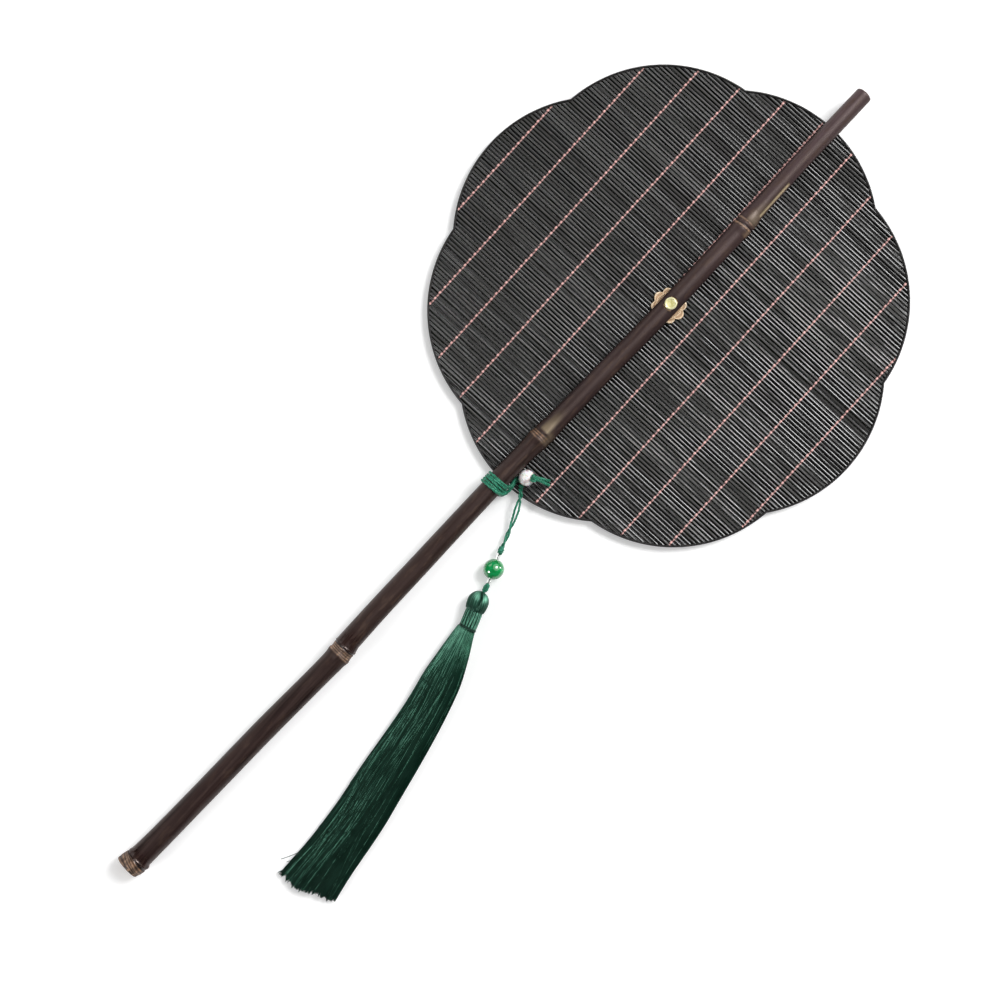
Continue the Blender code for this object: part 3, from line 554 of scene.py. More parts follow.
for number in range(1, leafShape["lobes"]):
    copy = bmesh.ops.duplicate(bm, geom=lobe)["geom"]
    bmesh.ops.rotate(bm, cent=(0, 0, 0), matrix=Matrix.Rotation(2 * halfTurn * number, 3, "Z"),
                     verts=only(bmesh.types.BMVert, copy))
bmesh.ops.remove_doubles(bm, verts=bm.verts, dist=2e-6)
bmesh.ops.recalc_face_normals(bm, faces=bm.faces)
bmesh.ops.translate(bm, vec=leafMiddle, verts=bm.verts)
place("leafRim", meshFrom("leafRim", bm), rimMaterial, "leaf", "black_edging", "leaf_rim")
print("rim made")

# Bamboo stick: stained dark, with swollen nodes, scars, a cut butt and a pith bore at its tip
stickMaterial = newMaterial("stainedBamboo", Roughness=0.5, Specular_IOR_Level=0.54,
                            Specular_Tint=(1.0, 0.84, 0.80, 1))
grain = fibres((900, 20, 900), 0.36, 0.64)
fleck = fibres((520, 110, 520), 0.50, 0.68)
cloud = fibres((60, 12, 60), 0.36, 0.62)
stripe = fibres((260, 9, 260), 0.40, 0.62)
dash = fibres((420, 160, 420), 0.40, 0.60)
scar, warm, lighter, groove, bare, cut, polished, under = (
    attribute(name) for name in ("scar", "warm", "lighter", "groove", "bare", "cut", "polished", "under"))
colour = blend(warm, (0.008, 0.0030, 0.0025), (0.016, 0.0080, 0.0060))
scarColour = blend(fleck, (0.38, 0.25, 0.17), (0.52, 0.29, 0.16))
for amount, layer in (
        # paler towards the tip: partly the upper internodes' own colour, partly painted sheen where the lamps'
        # highlight grows towards the tip
        (lighter, (0.084, 0.054, 0.059)),
        (times(cloud, 0.65), (0.008, 0.0035, 0.0035)),
        (times(stripe, 0.5), (0.030, 0.015, 0.0135)),
        (times(grain, 0.6), (0.036, 0.020, 0.017)),
        (times(fleck, scaled(warm, 0.35, 0.6)), (0.062, 0.037, 0.026)),
        (times(scar, scaled(dash, 1.0, 0.35)), scarColour),
        (groove, (0.004, 0.002, 0.002)),
        # pale patches: painted sheen where they fade away from nodes 3 and 4, the bamboo's own pale strip and marks
        # elsewhere
        (times(bare, scaled(stripe, 1.0, 0.55)), (0.60, 0.48, 0.29)),
        (cut, (0.30, 0.19, 0.11))):
    colour = blend(amount, colour, layer)
rough = maths("ADD", scaled(grain, 0.38, 0.47), times(scar, 0.15))
rough = maths("SUBTRACT", rough, times(polished, 0.24))
# Metallic: painted shade, the lower flanks mirroring nothing on the near-black colour
feed(Base_Color=colour, Roughness=rough, Metallic=times(under, 0.95))
bump(maths("ADD", grain, stripe), 0.3, 0.00006)
stick = {
    # (x, y, z) in millimetres and the radius there as a share of 5.6 mm
    "radius": 5.6,
    "stations": (
        (-12.1, -264.8, 6.5, 1.15), (-11.95, -263.5, 6.54, 1.17), (-11.4, -261.5, 6.59, 1.19),
        (-10.75, -259.5, 6.64, 1.20), (-10.55, -257.92, 6.64, 1.16), (-10.6, -256.5, 6.69, 1.12),
        (-10.5, -254.74, 6.74, 1.08), (-9.9, -243.62, 6.93, 1.04), (-8.75, -211.84, 7.5, 1.02),
        (-7.42, -169.47, 8.27, 1.02), (-5.5, -129.75, 8.95, 1.0), (-5.05, -118.63, 9.14, 1.03),
        (-5.0, -115.45, 9.19, 1.11), (-5.05, -113.33, 9.23, 1.03), (-5.25, -110.69, 9.28, 1.06),
        (-5.65, -105.92, 9.38, 1.0), (-5.7, -90.03, 9.67, 0.97), (-5.25, -52.96, 10.34, 0.94),
        (-4.8, -15.89, 11.06, 0.91), (-4.15, 15.89, 11.3, 0.9), (-3.66, 25.95, 11.3, 0.95),
        (-3.42, 29.66, 11.3, 1.03), (-3.2, 31.78, 11.3, 0.98), (-2.99, 34.95, 11.3, 1.0),
        (-2.74, 42.37, 11.3, 0.9), (-1.71, 74.14, 11.3, 0.86), (0.0, 122.87, 11.3, 0.875),
        (0.55, 158.88, 11.3, 0.86), (0.73, 170.53, 11.3, 0.88), (0.81, 174.24, 11.3, 0.94),
        (0.81, 176.36, 11.3, 0.88), (0.73, 179.53, 11.3, 0.91), (0.55, 185.36, 11.3, 0.79),
        (0.55, 211.84, 11.3, 0.76), (1.0, 243.62, 11.2, 0.77), (1.37, 263.21, 11.11, 0.765),
        (1.4, 264.8, 11.11, 0.735),
    ),
    "sides": 48,
    # rings: place along the stick, rise, half width, slant, how tan or, below 0, how dark, and for some the side
    # that they face in degrees from +X
    "marks": (
        (-264.1, 0.04, 0.40, 0.0, 0.6), (-263.3, -0.12, 0.16, 0.0, -0.6), (-262.6, 0.06, 0.42, -0.03, 0.9),
        (-261.9, -0.12, 0.15, -0.04, -0.7), (-261.3, 0.05, 0.38, -0.05, 0.8),
        (-260.6, -0.12, 0.15, -0.06, -0.6), (-260.0, 0.06, 0.36, -0.08, 1.0),
        (-259.4, -0.12, 0.15, -0.09, -0.7), (-258.9, 0.04, 0.30, -0.10, 0.8, 70),
        (-258.2, -0.28, 0.26, -0.11, -1.0), (-257.3, 0.34, 0.34, -0.11, 0.0), (-115.0, 0.05, 0.36, -0.07, 0.8),
        (-114.4, -0.12, 0.15, -0.07, -0.6), (-113.8, 0.05, 0.34, -0.07, 1.0),
        (-113.3, -0.12, 0.15, -0.07, -0.7), (-112.7, 0.05, 0.34, -0.07, 0.9),
        (-112.2, -0.12, 0.15, -0.07, -0.7), (-111.7, 0.04, 0.30, -0.07, 0.8),
        (-110.9, -0.28, 0.26, -0.07, -1.0), (-110.1, 0.25, 0.33, -0.07, 0.0),
        (29.8, 0.03, 0.28, 0.0, 0.6, 140), (30.4, -0.10, 0.15, 0.0, -0.6, 130),
        (31.1, 0.03, 0.30, 0.05, 0.75, 130), (31.8, -0.10, 0.16, 0.05, -0.7, 125),
        (32.5, 0.03, 0.30, 0.05, 0.6, 125), (33.2, -0.16, 0.22, 0.05, -0.9, 110),
        (34.1, 0.12, 0.40, 0.05, 0.0), (174.4, -0.12, 0.22, 0.05, -0.8), (175.1, 0.06, 0.46, 0.05, 0.75),
        (176.0, -0.16, 0.28, 0.05, -0.9), (177.6, -0.10, 0.20, 0.0, -0.6), (178.2, 0.06, 0.42, 0.0, 0.65),
        (179.0, -0.08, 0.20, 0.0, -0.5),
    ),
    "markSpread": 45,  # half angle of a ring that faces one side
    # unevenness of the rings: how far, how often round the stick, and how it shifts from ring to ring
    "ripples": ((0.10, 2, 7), (0.07, 5, 3)),
    "glints": ((-256.0, 2.2), (-107.5, 3.5)),
    # patches: from, to, side it faces, half angle, rise, how tan or, below 0, how dark, how pale (painted sheen beyond
    # nodes 3 and 4, the bamboo's own pale marks elsewhere), share that fades out
    "patches": (
        (-266.5, -263.0, 92, 7, -0.35, -1.0, 0.0, 0.0), (-266.5, -262.3, 79, 6, -0.05, 1.0, 0.0, 0.0),
        (-266.5, -262.8, 62, 8, -0.35, -1.0, 0.0, 0.0), (-266.5, -263.3, 45, 7, -0.10, 1.0, 0.0, 0.0),
        # the two patches that fade away from nodes 3 and 4 are painted sheen; the rest are the bamboo's own marks
        (29.0, 37.0, 45, 26, 0.0, 0.0, 0.08, 0.0), (34.0, 48.0, 100, 20, 0.0, 0.0, 0.50, 0.9),
        (178.2, 194.0, 62, 32, 0.0, 0.0, 0.26, 0.9), (171.0, 176.0, 40, 18, 0.0, 0.2, 0.1, 0.0),
        (183.5, 206.5, 41, 9, -0.30, 0.0, 1.0, 0.0), (184.0, 205.0, 54, 3, -0.06, -0.8, 0.0, 0.0),
    ),
    "patchEdge": 1.2,
    # places that are made with rings close together, and the rings' distance in them and between them
    "fineZones": ((-264.8, -252.0), (-123.0, -104.0), (22.0, 47.0), (168.0, 208.0), (258.0, 264.8)),
    "ringSteps": (0.22, 4.0),
    "pith": (1.1, 8.0),
    "buttPit": (1.3, 0.9),
    "endRounding": (0.35, 0.8),
    "buttSlant": (0.7, 5.0),  # how far the top of the cut lies back, and over what length
    "lighter": (20, 150),  # where the tip's half begins to grow paler, partly its own colour and partly painted sheen, and over what length
    "warm": (-130, 30),
    # painted shade on the lower flanks, made metallic on the near-black colour so that they mirror no lamp: how high a
    # side faces, over what range, and the share on the side away from the lamps
    "under": (0.45, 0.35, 0.4),
}
stations = np.array(stick["stations"])
fineStep, coarseStep = stick["ringSteps"]
fine = [np.linspace(low, high, int((high - low) / fineStep)) for low, high in stick["fineZones"]]
between = np.array(stick["fineZones"]).reshape(-1)[1:-1].reshape(-1, 2)
coarse = [np.linspace(low, high, int((high - low) / coarseStep))[1:-1] for low, high in between]
y = np.sort(np.concatenate(fine + coarse))
middleX, middleZ, girth = (smoothThrough(stations[:, 1], stations[:, column], y) for column in (0, 2, 3))
route = np.stack([middleX, y, middleZ], axis=1) * mm
girth = girth * stick["radius"]
fromButt, fromTip = y - y[0], y[-1] - y
for reached, rounding in zip((fromButt, fromTip), stick["endRounding"]):
    girth -= rounding * np.clip(1 - reached / rounding, 0, 1) ** 2
mesh = sweep("bambooStick", route, girth * mm, stick["sides"])
spots = coordinates(mesh)
share = np.empty(len(mesh.vertices))
mesh.attributes["along"].data.foreach_get("value", share)
ring = np.rint(share * (len(y) - 1)).astype(int)
ringY = y[ring]
outward = spots - route[ring]
outward /= np.linalg.norm(outward, axis=1)[:, None]
facing = np.degrees(np.arctan2(outward[:, 2], outward[:, 0]))
relief, scarred, grooved, bared = np.zeros((4, len(spots)))


def mark(amount, rise, shade, bare=0.0):
    tan, dark = max(shade, 0.0), max(-shade, 0.0)
    relief[:] += amount * rise * mm
    scarred[:] = np.maximum(scarred * (1 - amount * dark), amount * tan)
    grooved[:] = np.maximum(grooved * (1 - amount * tan), amount * dark)
    bared[:] = np.maximum(bared, amount * bare)


for markY, rise, halfWidth, slant, shade, *sides in stick["marks"]:
    ripple = sum(size * np.sin(often * np.radians(facing) + shift * markY) for size, often, shift in stick["ripples"])
    amount = np.exp(-0.5 * ((ringY - markY - slant * outward[:, 0] * stick["radius"] - ripple) / halfWidth) ** 2)
    for side in sides:
        amount = amount * np.exp(-0.5 * ((facing - side) / stick["markSpread"]) ** 2)
    mark(amount, rise, shade)
for low, high, side, halfAngle, rise, shade, bare, fading in stick["patches"]:
    edge = stick["patchEdge"]
    amount = np.clip((ringY - low) / edge, 0, 1) * np.clip((high - ringY) / max(edge, fading * (high - low)), 0, 1)
    mark(amount * np.exp(-0.5 * ((facing - side) / halfAngle) ** 4), rise, shade, bare)
spots += outward * relief[:, None]
laidBack, slantLength = stick["buttSlant"]
spots[:, 1] += laidBack * mm * (np.clip(outward[:, 2], 0, 1) * np.clip(1 - fromButt[ring] / slantLength, 0, 1))
setCoordinates(mesh, spots)
sideways, sideRange, awayShare = stick["under"]
paint(mesh, scar=scarred, groove=grooved, bare=bared,
      polished=sum(np.exp(-0.5 * ((ringY - glint) / width) ** 2) for glint, width in stick["glints"]),
      lighter=np.clip((ringY - stick["lighter"][0]) / stick["lighter"][1], 0, 1),
      under=np.clip((sideways - outward[:, 2]) / sideRange, 0, 1) * np.where(outward[:, 0] > 0, 1.0, awayShare),
      warm=np.clip((ringY - stick["warm"][0]) / stick["warm"][1], 0, 1),
      cut=np.isin(ring, (0, len(y) - 1)).astype(float))
bm = bmesh.new()
bm.from_mesh(mesh)
for sign, (radius, depth) in ((1, stick["pith"]), (-1, stick["buttPit"])):
    cap = max((face for face in bm.faces if len(face.verts) == stick["sides"] and face.normal.y * sign > 0.5),
              key=lambda face: face.calc_area())
    outwards = cap.normal.copy()
    capRadius = max((vert.co - cap.calc_center_median()).length for vert in cap.verts)
    bmesh.ops.inset_region(bm, faces=[cap], thickness=capRadius - radius * mm, use_even_offset=True)
    inner = bmesh.ops.extrude_face_region(bm, geom=[cap])["geom"]
    bmesh.ops.translate(bm, vec=-outwards * depth * mm, verts=only(bmesh.types.BMVert, inner))
stickMesh = meshFrom("bambooStick", bm, 60)

# the flat seat of the rivet's head
rivetSeat = {"radius": 3.8, "floor": 15.5, "height": 6}
bm = bmesh.new()
bmesh.ops.create_cone(bm, cap_ends=True, segments=64, radius1=rivetSeat["radius"] * mm,
                      radius2=rivetSeat["radius"] * mm, depth=rivetSeat["height"] * mm)
bmesh.ops.translate(bm, vec=(0, leafMiddle[1], (rivetSeat["floor"] + rivetSeat["height"] / 2) * mm), verts=bm.verts)
cutterMesh = bpy.data.meshes.new("seatCutter")
bm.to_mesh(cutterMesh)
bm.free()
cutter = addObject("seatCutter", cutterMesh)
stickMesh = applied("bambooStick", stickMesh, "BOOLEAN", operation="DIFFERENCE", object=cutter, solver="EXACT")
bpy.data.objects.remove(cutter, do_unlink=True)
stickMesh.shade_smooth()
stickMesh.set_sharp_from_angle(angle=math.radians(50))
place("bambooStick", stickMesh, stickMaterial, "stick", "dark_bamboo", "bamboo_stick")
print("stick made:", len(stickMesh.polygons), "faces")

# Rivet and cap: pale brass, worn dull in the dish
brassMaterial = newMaterial("paleBrass", Metallic=0.35, Roughness=0.3)
blot = fibres(650, 0.38, 0.66)
scratch = fibres((4200, 500, 900), 0.52, 0.75)
fromAxis = put("ShaderNodeVectorMath", {"operation": "MULTIPLY_ADD"}, i0=making["spot"],
               i1=(1, 1, 0), i2=(0, -leafMiddle[1], 0)).outputs[0]
fromAxis = put("ShaderNodeVectorMath", {"operation": "LENGTH"}, i0=fromAxis).outputs["Value"]
dishEdge, dishFloor = 0.0025, 0.0016
dish = put("ShaderNodeMapRange", {"interpolation_type": "SMOOTHSTEP"}, Value=fromAxis, From_Min=dishEdge,
           From_Max=dishFloor).outputs[0]
colour = blend(blot, (0.90, 0.87, 0.54), (0.80, 0.75, 0.40))
colour = blend(times(dish, scaled(blot, 0.55, 1.0)), colour, (0.44, 0.40, 0.13))
feed(Base_Color=blend(times(scratch, 0.3), colour, (0.95, 0.92, 0.66)),
     Roughness=maths("ADD", scaled(blot, 0.24, 0.34), times(dish, 0.22)))
bump(maths("ADD", scratch, blot), 0.15, 0.00003)

rivet = {
    "head": ((0.0, 16.62), (1.2, 16.60), (2.05, 16.64), (2.3, 16.86), (2.65, 16.9), (3.1, 16.5), (3.1, 15.8),
             (1.2, 15.8), (1.2, 1.82), (0.0, 1.82)),
    "cap": ((0.0, 1.7), (1.3, 1.7), (1.9, 1.78), (1.9, 0.8), (3.1, 0.8), (3.5, 0.45), (3.3, 0.05), (0.0, 0.0)),
    "rounding": 0.12,
}
for name, profile, node in (("rivetHead", rivet["head"], "rivet_post"), ("rivetCap", rivet["cap"], "rivet_cap")):
    bm = turned(profile, middle=(0, leafShape["middle"][1], 0), steps=56, rounding=rivet["rounding"] * mm)
    place(name, meshFrom(name, bm, 40), brassMaterial, "stick", "pale_brass", node)

# Flower washers: stamped, with a raised rim, sunken petals and a ring of dots
washerMaterial = newMaterial("tanWasher", Roughness=0.45, Specular_IOR_Level=0.6)
blot = fibres(700)
colour = blend(blot, (0.80, 0.58, 0.36), (0.92, 0.74, 0.52))
colour = blend(attribute("low"), colour, (0.46, 0.27, 0.14))
feed(Base_Color=colour, Roughness=scaled(blot, 0.32, 0.5))
bump(blot, 0.2, 0.00005)

washers = {
    "radius": 8.9,
    "thickness": 0.7,
    "petals": 8,
    "petalDepth": 0.19,
    "petalRound": 0.85,
    "segments": 192,
    # share of the radius, height under the washer's top, how dark
    "rings": ((0.30, 0.0, 0.0), (0.52, 0.0, 0.0), (0.545, 0.22, 0.8), (0.60, 0.22, 0.8), (0.622, 0.16, 0.6),
              (0.71, 0.16, 0.7), (0.735, 0.05, 0.0), (0.765, 0.05, 0.0), (0.785, 0.26, 1.0), (0.83, 0.34, 0.9),
              (0.885, 0.26, 0.6), (0.905, 0.05, 0.0), (0.93, 0.0, 0.0), (0.965, 0.0, 0.0), (0.99, 0.10, 0.1),
              (1.0, 0.26, 0.4)),
    # share of the radius and height over the washer's bottom, there
    "back": ((1.0, 0.08), (0.985, 0.0), (0.6, 0.0)),
    # ridge between two petals: from and to, its width and its height
    "ridge": (0.78, 0.90, 0.30, 0.28),
    "dots": {"count": 40, "share": 0.665, "radius": 0.33, "sunk": 0.05},
}


def flowerWasher(name, bottom, hole, faceDown, node):
    thick, hub, dots = washers["thickness"], hole / washers["radius"], washers["dots"]
    profile = [(hub, thick, 0.0)] + [(share, thick - drop, dark) for share, drop, dark in washers["rings"]]
    profile += [(share, height, 0.0) for share, height in washers["back"]] + [(hub, 0.0, 0.0)]
    ridgeFrom, ridgeTo, ridgeWidth, ridgeHeight = washers["ridge"]
    bm = bmesh.new()
    lowLayer = bm.verts.layers.float.new("low")
    bmesh.ops.create_circle(bm, segments=washers["segments"], radius=1.0)
    loop, edges = bm.verts[:], bm.edges[:]
    for step, (share, height, dark) in enumerate(profile):
        if step:
            made = bmesh.ops.extrude_edge_only(bm, edges=edges)["geom"]
            loop = only(bmesh.types.BMVert, made)
            edges = [edge for edge in only(bmesh.types.BMEdge, made) if edge.is_boundary]
        for vert in loop:
            turn = math.atan2(vert.co.y, vert.co.x)
            petal = abs(math.cos(washers["petals"] * turn / 2))
            notch = washers["petalDepth"] * (1 - petal ** washers["petalRound"])
            radius = washers["radius"] * share * (1 - notch * min(1, share ** 4))
            ridge = max(0.0, 1 - petal / ridgeWidth) if ridgeFrom < share < ridgeTo else 0.0
            vert.co = (radius * mm * math.cos(turn), radius * mm * math.sin(turn), (height + ridgeHeight * ridge) * mm)
            vert[lowLayer] = dark * (1 - ridge)
    bmesh.ops.bridge_loops(bm, edges=[edge for edge in bm.edges if edge.is_boundary])
    for dot in range(dots["count"]):
        turn = 2 * math.pi * (dot + 0.5) / dots["count"]
        reach = washers["radius"] * dots["share"] * mm
        dotPlace = (reach * math.cos(turn), reach * math.sin(turn), (thick - dots["sunk"]) * mm)
        bmesh.ops.create_icosphere(bm, subdivisions=2, radius=dots["radius"] * mm, matrix=Matrix.Translation(dotPlace))
    bmesh.ops.recalc_face_normals(bm, faces=bm.faces)
    if faceDown:
        bmesh.ops.rotate(bm, cent=(0, 0, thick * mm / 2), matrix=Matrix.Rotation(math.pi, 3, "X"), verts=bm.verts)
    bmesh.ops.translate(bm, vec=(0, leafMiddle[1], bottom * mm), verts=bm.verts)
    place(name, meshFrom(name, bm, 35), washerMaterial, "stick", "tan_washer", node)


flowerWasher("frontWasher", 5.4, 1.25, False, "front_washer")
flowerWasher("backWasher", 1.1, 1.95, True, "back_washer")
print("rivet and washers made")

# Winding round the stick, the strand tucked over it, and the two ties that hold the white bead
winding = {
    "middle": (-4.6, -1.03, 11.17),
    "axis": (0.0269, 0.9996, 0.0076),
    "radius": 5.68,
    "pitch": 1.36,
    "turns": 4.75,
    "points": 150,
    "diameter": 1.45,
    "plies": 3,
    "lay": 0.0085,
    "slack": 0.20,
    # how the turns wander along the stick: share, how often in a turn, and start
    "wander": ((1.0, 1.7, 0), (0.6, 0.6, 2)),
    # angles, places along the stick and lift
    "tuck": ((70, -2.6, 0.9), (45, -2.0, 1.15), (15, -0.9, 1.2), (-15, 0.4, 1.2), (-45, 1.6, 1.15), (-75, 2.6, 0.9)),
    "tuckCord": {"diameter": 0.0016, "plies": 3, "lay": 0.0070},
}
windingFrame = Vector(winding["axis"]).normalized().to_track_quat("Z", "X").to_matrix()
downwards = windingFrame.inverted() @ Vector((0, 0, -1))
turn = np.linspace(0, winding["turns"], winding["points"])
angle = math.atan2(downwards.y, downwards.x) + 2 * math.pi * turn
lifted = winding["radius"] + 0.5 * winding["slack"] * (1 + np.sin(2.3 * turn * math.pi))
wander = sum(size * np.sin(often * angle + start) for size, often, start in winding["wander"])
wander = winding["slack"] * wander * np.sin(math.pi * turn / winding["turns"])
local = np.stack([lifted * np.cos(angle), lifted * np.sin(angle),
                  (turn - winding["turns"] / 2) * winding["pitch"] + wander], axis=1)
coil = (local @ np.array(windingFrame).T + np.array(winding["middle"])) * mm
plies, plyRadius = pliedPaths(smoothRoute(coil, winding["lay"] * 0.16), winding["diameter"] * mm, winding["plies"],
                              winding["lay"])
mesh = sweep("windingCord", plies, plyRadius, 8)
place("windingCord", mesh, cordMaterial, "stick", "green_cord", "binding_cord")
tuck = []
for degrees, reached, lift in winding["tuck"]:
    out, turn = winding["radius"] + lift, math.radians(degrees)
    tuck.append([out * math.cos(turn), reached, out * math.sin(turn)])
layCord("windingTuck", (np.array(tuck) + np.array(winding["middle"])) * mm, winding["tuckCord"], "stick")

# the ties and, from the knot on the bead, their tails
ties = {
    "diameter": 0.0018,
    "plies": 3,
    "lay": 0.0064,
    "bead_tie_1": ((-3.59, -4.05, 5.27), (-2.8, -4.1, 5.16), (0.6, -3.6, 5.4), (2.5, -1.2, 6.2), (2.9, 3.2, 6.9),
                   (2.5, 7.6, 6.6), (5.47, 11.48, 9.5), (7.67, 13.08, 12.16)),
    "bead_tie_2": ((1.36, 1.85, 10.11), (1.47, 1.88, 9.31), (2.1, 4.8, 8.3), (1.6, 8.6, 7.2), (4.77, 12.45, 9.5),
                   (6.97, 14.05, 12.16)),
    "knot_tail_1": ((8.4, 14.3, 13.3), (10.3, 14.9, 13.2), (13.0, 15.7, 10.6), (15.8, 16.7, 6.9)),
    "knot_tail_2": ((8.3, 14.6, 13.3), (10.0, 15.9, 13.0), (12.2, 17.0, 10.2), (14.6, 18.3, 6.9)),
}


def layTie(name, node):
    layCord(name, [mm * np.array(point) for point in ties[node]], ties, "stick", node)


layTie("beadTie1", "bead_tie_1")
layTie("beadTie2", "bead_tie_2")

# Knot on the white bead, and the hitch that the pendant leaves from: trefoils of one cord
knotCord = {"step": 0.00022, "plies": 2, "lay": 0.0018, "fullness": 1.15}
knots = {
    # middle, the way it faces, its size, the cord's diameter and the node it replaces
    "stopperKnot": ((8.0, 14.1, 13.25), (0.5792, 0.4194, 0.699), 2.3, 1.5, "stopper_knot"),
    "pendantHitch": ((6.02, 7.09, 6.5), (0.3, -0.9, 0.1), 1.6, 1.1, "pendant_hitch"),
}
for name, (middle, facing, size, diameter, node) in knots.items():
    angle = np.linspace(0, 2 * math.pi, 61)
    trefoil = np.stack([np.sin(angle) + 2 * np.sin(2 * angle), np.cos(angle) - 2 * np.cos(2 * angle),
                        -1.5 * np.sin(3 * angle)], axis=1) * ((size - diameter / 2) / 3)
    turnTo = np.array(Vector(facing).normalized().to_track_quat("Z", "Y").to_matrix())
    route = smoothRoute((trefoil @ turnTo.T + np.array(middle)) * mm, knotCord["step"])
    strands, plyRadius = pliedPaths(route, diameter * mm, knotCord["plies"], knotCord["lay"])
    mesh = sweep(name, strands, plyRadius * knotCord["fullness"], 6, tones=[0.35, 0.65])
    place(name, mesh, cordMaterial, "stick", "green_cord", node)

# barrel knot over the beads: the cord wound round itself
barrel = {"middle": (19.85, -23.4, 5.1), "line": (0.37, -0.93, 0.0), "turns": 3, "halfLength": 1.7, "radius": 0.90,
          "diameter": 0.0015, "plies": 3, "lay": 0.0060}
upward = np.array([0, 0, 1.0])


def coiled(middle, ahead, side, reach, radius, angle):
    # points round a line: how far along it, how far out and at what angle
    return (np.array(middle) + np.asarray(reach)[..., None] * ahead + (radius * np.cos(angle))[..., None] * side
            + (radius * np.sin(angle))[..., None] * upward)


barrelLine = np.array(Vector(barrel["line"]).normalized())
barrelSide = np.array([-barrelLine[1], barrelLine[0], 0])
angle = np.linspace(0, 2 * math.pi * barrel["turns"], 24 * barrel["turns"])
share = angle / angle[-1]
swollen = barrel["radius"] * (0.75 + 0.4 * np.sin(math.pi * share ** 0.8))
layCord("upperKnot", coiled(barrel["middle"], barrelLine, barrelSide, barrel["halfLength"] * (2 * share - 1),
                            swollen, angle) * mm, barrel, "pendant", "upper_knot")
layTie("knotTail1", "knot_tail_1")
layTie("knotTail2", "knot_tail_2")
print("winding, ties and knots made")


# Beads: bored balls with softly rounded holes

def boredBead(name, size, axis, middle, material, body, slot, node, steps=64):
    radius, bore = size
    edge = 1.35 * math.asin(bore / radius)
    arc = [(radius * math.sin(t), radius * math.cos(t)) for t in np.linspace(edge, math.pi - edge, 40)]
    lip = arc[0][1] - 0.02 * radius
    bm = turned([(bore, -lip), (bore, lip)] + arc, axis, middle, steps, closed=True)
    place(name, meshFrom(name, bm), material, body, slot, node)


pearlMaterial = newMaterial(
    "pearlWhite", Roughness=0.22, Specular_IOR_Level=0.5, Coat_Weight=0.6, Coat_Roughness=0.08,
    Subsurface_Weight=0.15, Subsurface_Scale=0.001)
mottle = fibres(420, 0.49, 0.60)
vein = fibres((230, 260, 240), 0.35, 0.7)
colour = blend(vein, (0.97, 0.96, 0.95), (0.91, 0.89, 0.89))
feed(Base_Color=blend(times(mottle, 0.8), colour, (0.52, 0.44, 0.44)),
     Roughness=scaled(mottle, 0.18, 0.34))

stoneMaterial = newMaterial(
    "greenStone", Roughness=0.07, Specular_IOR_Level=1.0, Coat_Weight=1.0, Coat_Roughness=0.03,
    Subsurface_Weight=0.1, Subsurface_Scale=0.002, Subsurface_Radius=(0.2, 1.0, 0.4))
vein = fibres((170, 300, 210))
speck = fibres(1300, 0.6, 0.75)
colour = blend(vein, (0.001, 0.21, 0.045), (0.005, 0.36, 0.100))
feed(Base_Color=blend(times(speck, 0.3), colour, (0.02, 0.12, 0.03)),
     Roughness=scaled(speck, 0.06, 0.12))

glassMaterial = newMaterial("clearGlass", Roughness=0.02, IOR=1.5, Transmission_Weight=1.0)
frost = fibres(1500, 0.5, 0.8)
feed(Base_Color=blend(frost, (0.98, 0.99, 0.98), (0.90, 0.93, 0.91)),
     Roughness=scaled(frost, 0.01, 0.08))

linkMaterial = newMaterial("darkThread", Roughness=0.6)
twist = fibres(3600, 0.3, 0.7)
feed(Base_Color=blend(twist, (0.012, 0.030, 0.022), (0.05, 0.09, 0.07)),
     Roughness=scaled(twist, 0.5, 0.7))
bump(twist, 0.3, 0.00003)

beads = {
    "line": (0.3697, -0.9292, 0.0),
    "green": (23.5, -32.733, 5.1),
    "greenSize": (5.2, 0.55),  # radius of the bead and of its bore
    "clearReach": 6.5,
    "clearSize": (1.15, 0.34),
    "white": (5.12, 11.97, 9.5),
    "whiteLine": (0.5792, 0.4194, 0.699),
    "whiteSize": (4.1, 1.15),
    "thread": {"diameter": 0.0006, "plies": 2, "lay": 0.0013},
    "threadPoints": (-7.9, -3, 3, 7.9),
}
boredBead("whiteBead", beads["whiteSize"], beads["whiteLine"], beads["white"], pearlMaterial, "white_bead",
          "pearl_white", "white_bead")
boredBead("greenBead", beads["greenSize"], beads["line"], beads["green"], stoneMaterial, "green_bead",
          "green_stone", "green_bead")
beadLine = Vector(beads["line"]).normalized()
for number, side in ((1, -1), (2, 1)):
    middle = Vector(beads["green"]) + side * beads["clearReach"] * beadLine
    boredBead(f"clearBead{number}", beads["clearSize"], beadLine, middle, glassMaterial, "pendant", "clear_glass",
              f"clear_bead_{number}", 40)
layCord("beadThread", [(Vector(beads["green"]) + reach * beadLine) * mm for reach in beads["threadPoints"]],
        beads["thread"], "pendant", "bead_thread", material=linkMaterial, slot="dark_thread")
print("beads made")


# Silk of the tassel: dark green with a soft sheen and paler strands
silkMaterial = newMaterial("greenSilk", Roughness=0.4, Metallic=0.12, Specular_IOR_Level=0.7,
                           Specular_Tint=(0.52, 1.0, 0.78, 1))
silkTone = attribute("tone")
dyeing = fibres(160)
colour = blend(scaled(silkTone, end=0.5), (0.0010, 0.0055, 0.0034), (0.011, 0.058, 0.036))
colour = blend(scaled(silkTone, start=0.5), colour, (0.22, 0.57, 0.40))
feed(Base_Color=blend(times(dyeing, 0.3), colour, (0.002, 0.022, 0.012)),
     Roughness=scaled(dyeing, 0.36, 0.48))


def placeSilk(name, paths, radii, sides, tones, *replaced):
    mesh = sweep(name, np.array(paths), radii, sides, tones=np.clip(tones, 0, 1))
    place(name, mesh, silkMaterial, "tassel", "green_silk", *replaced)


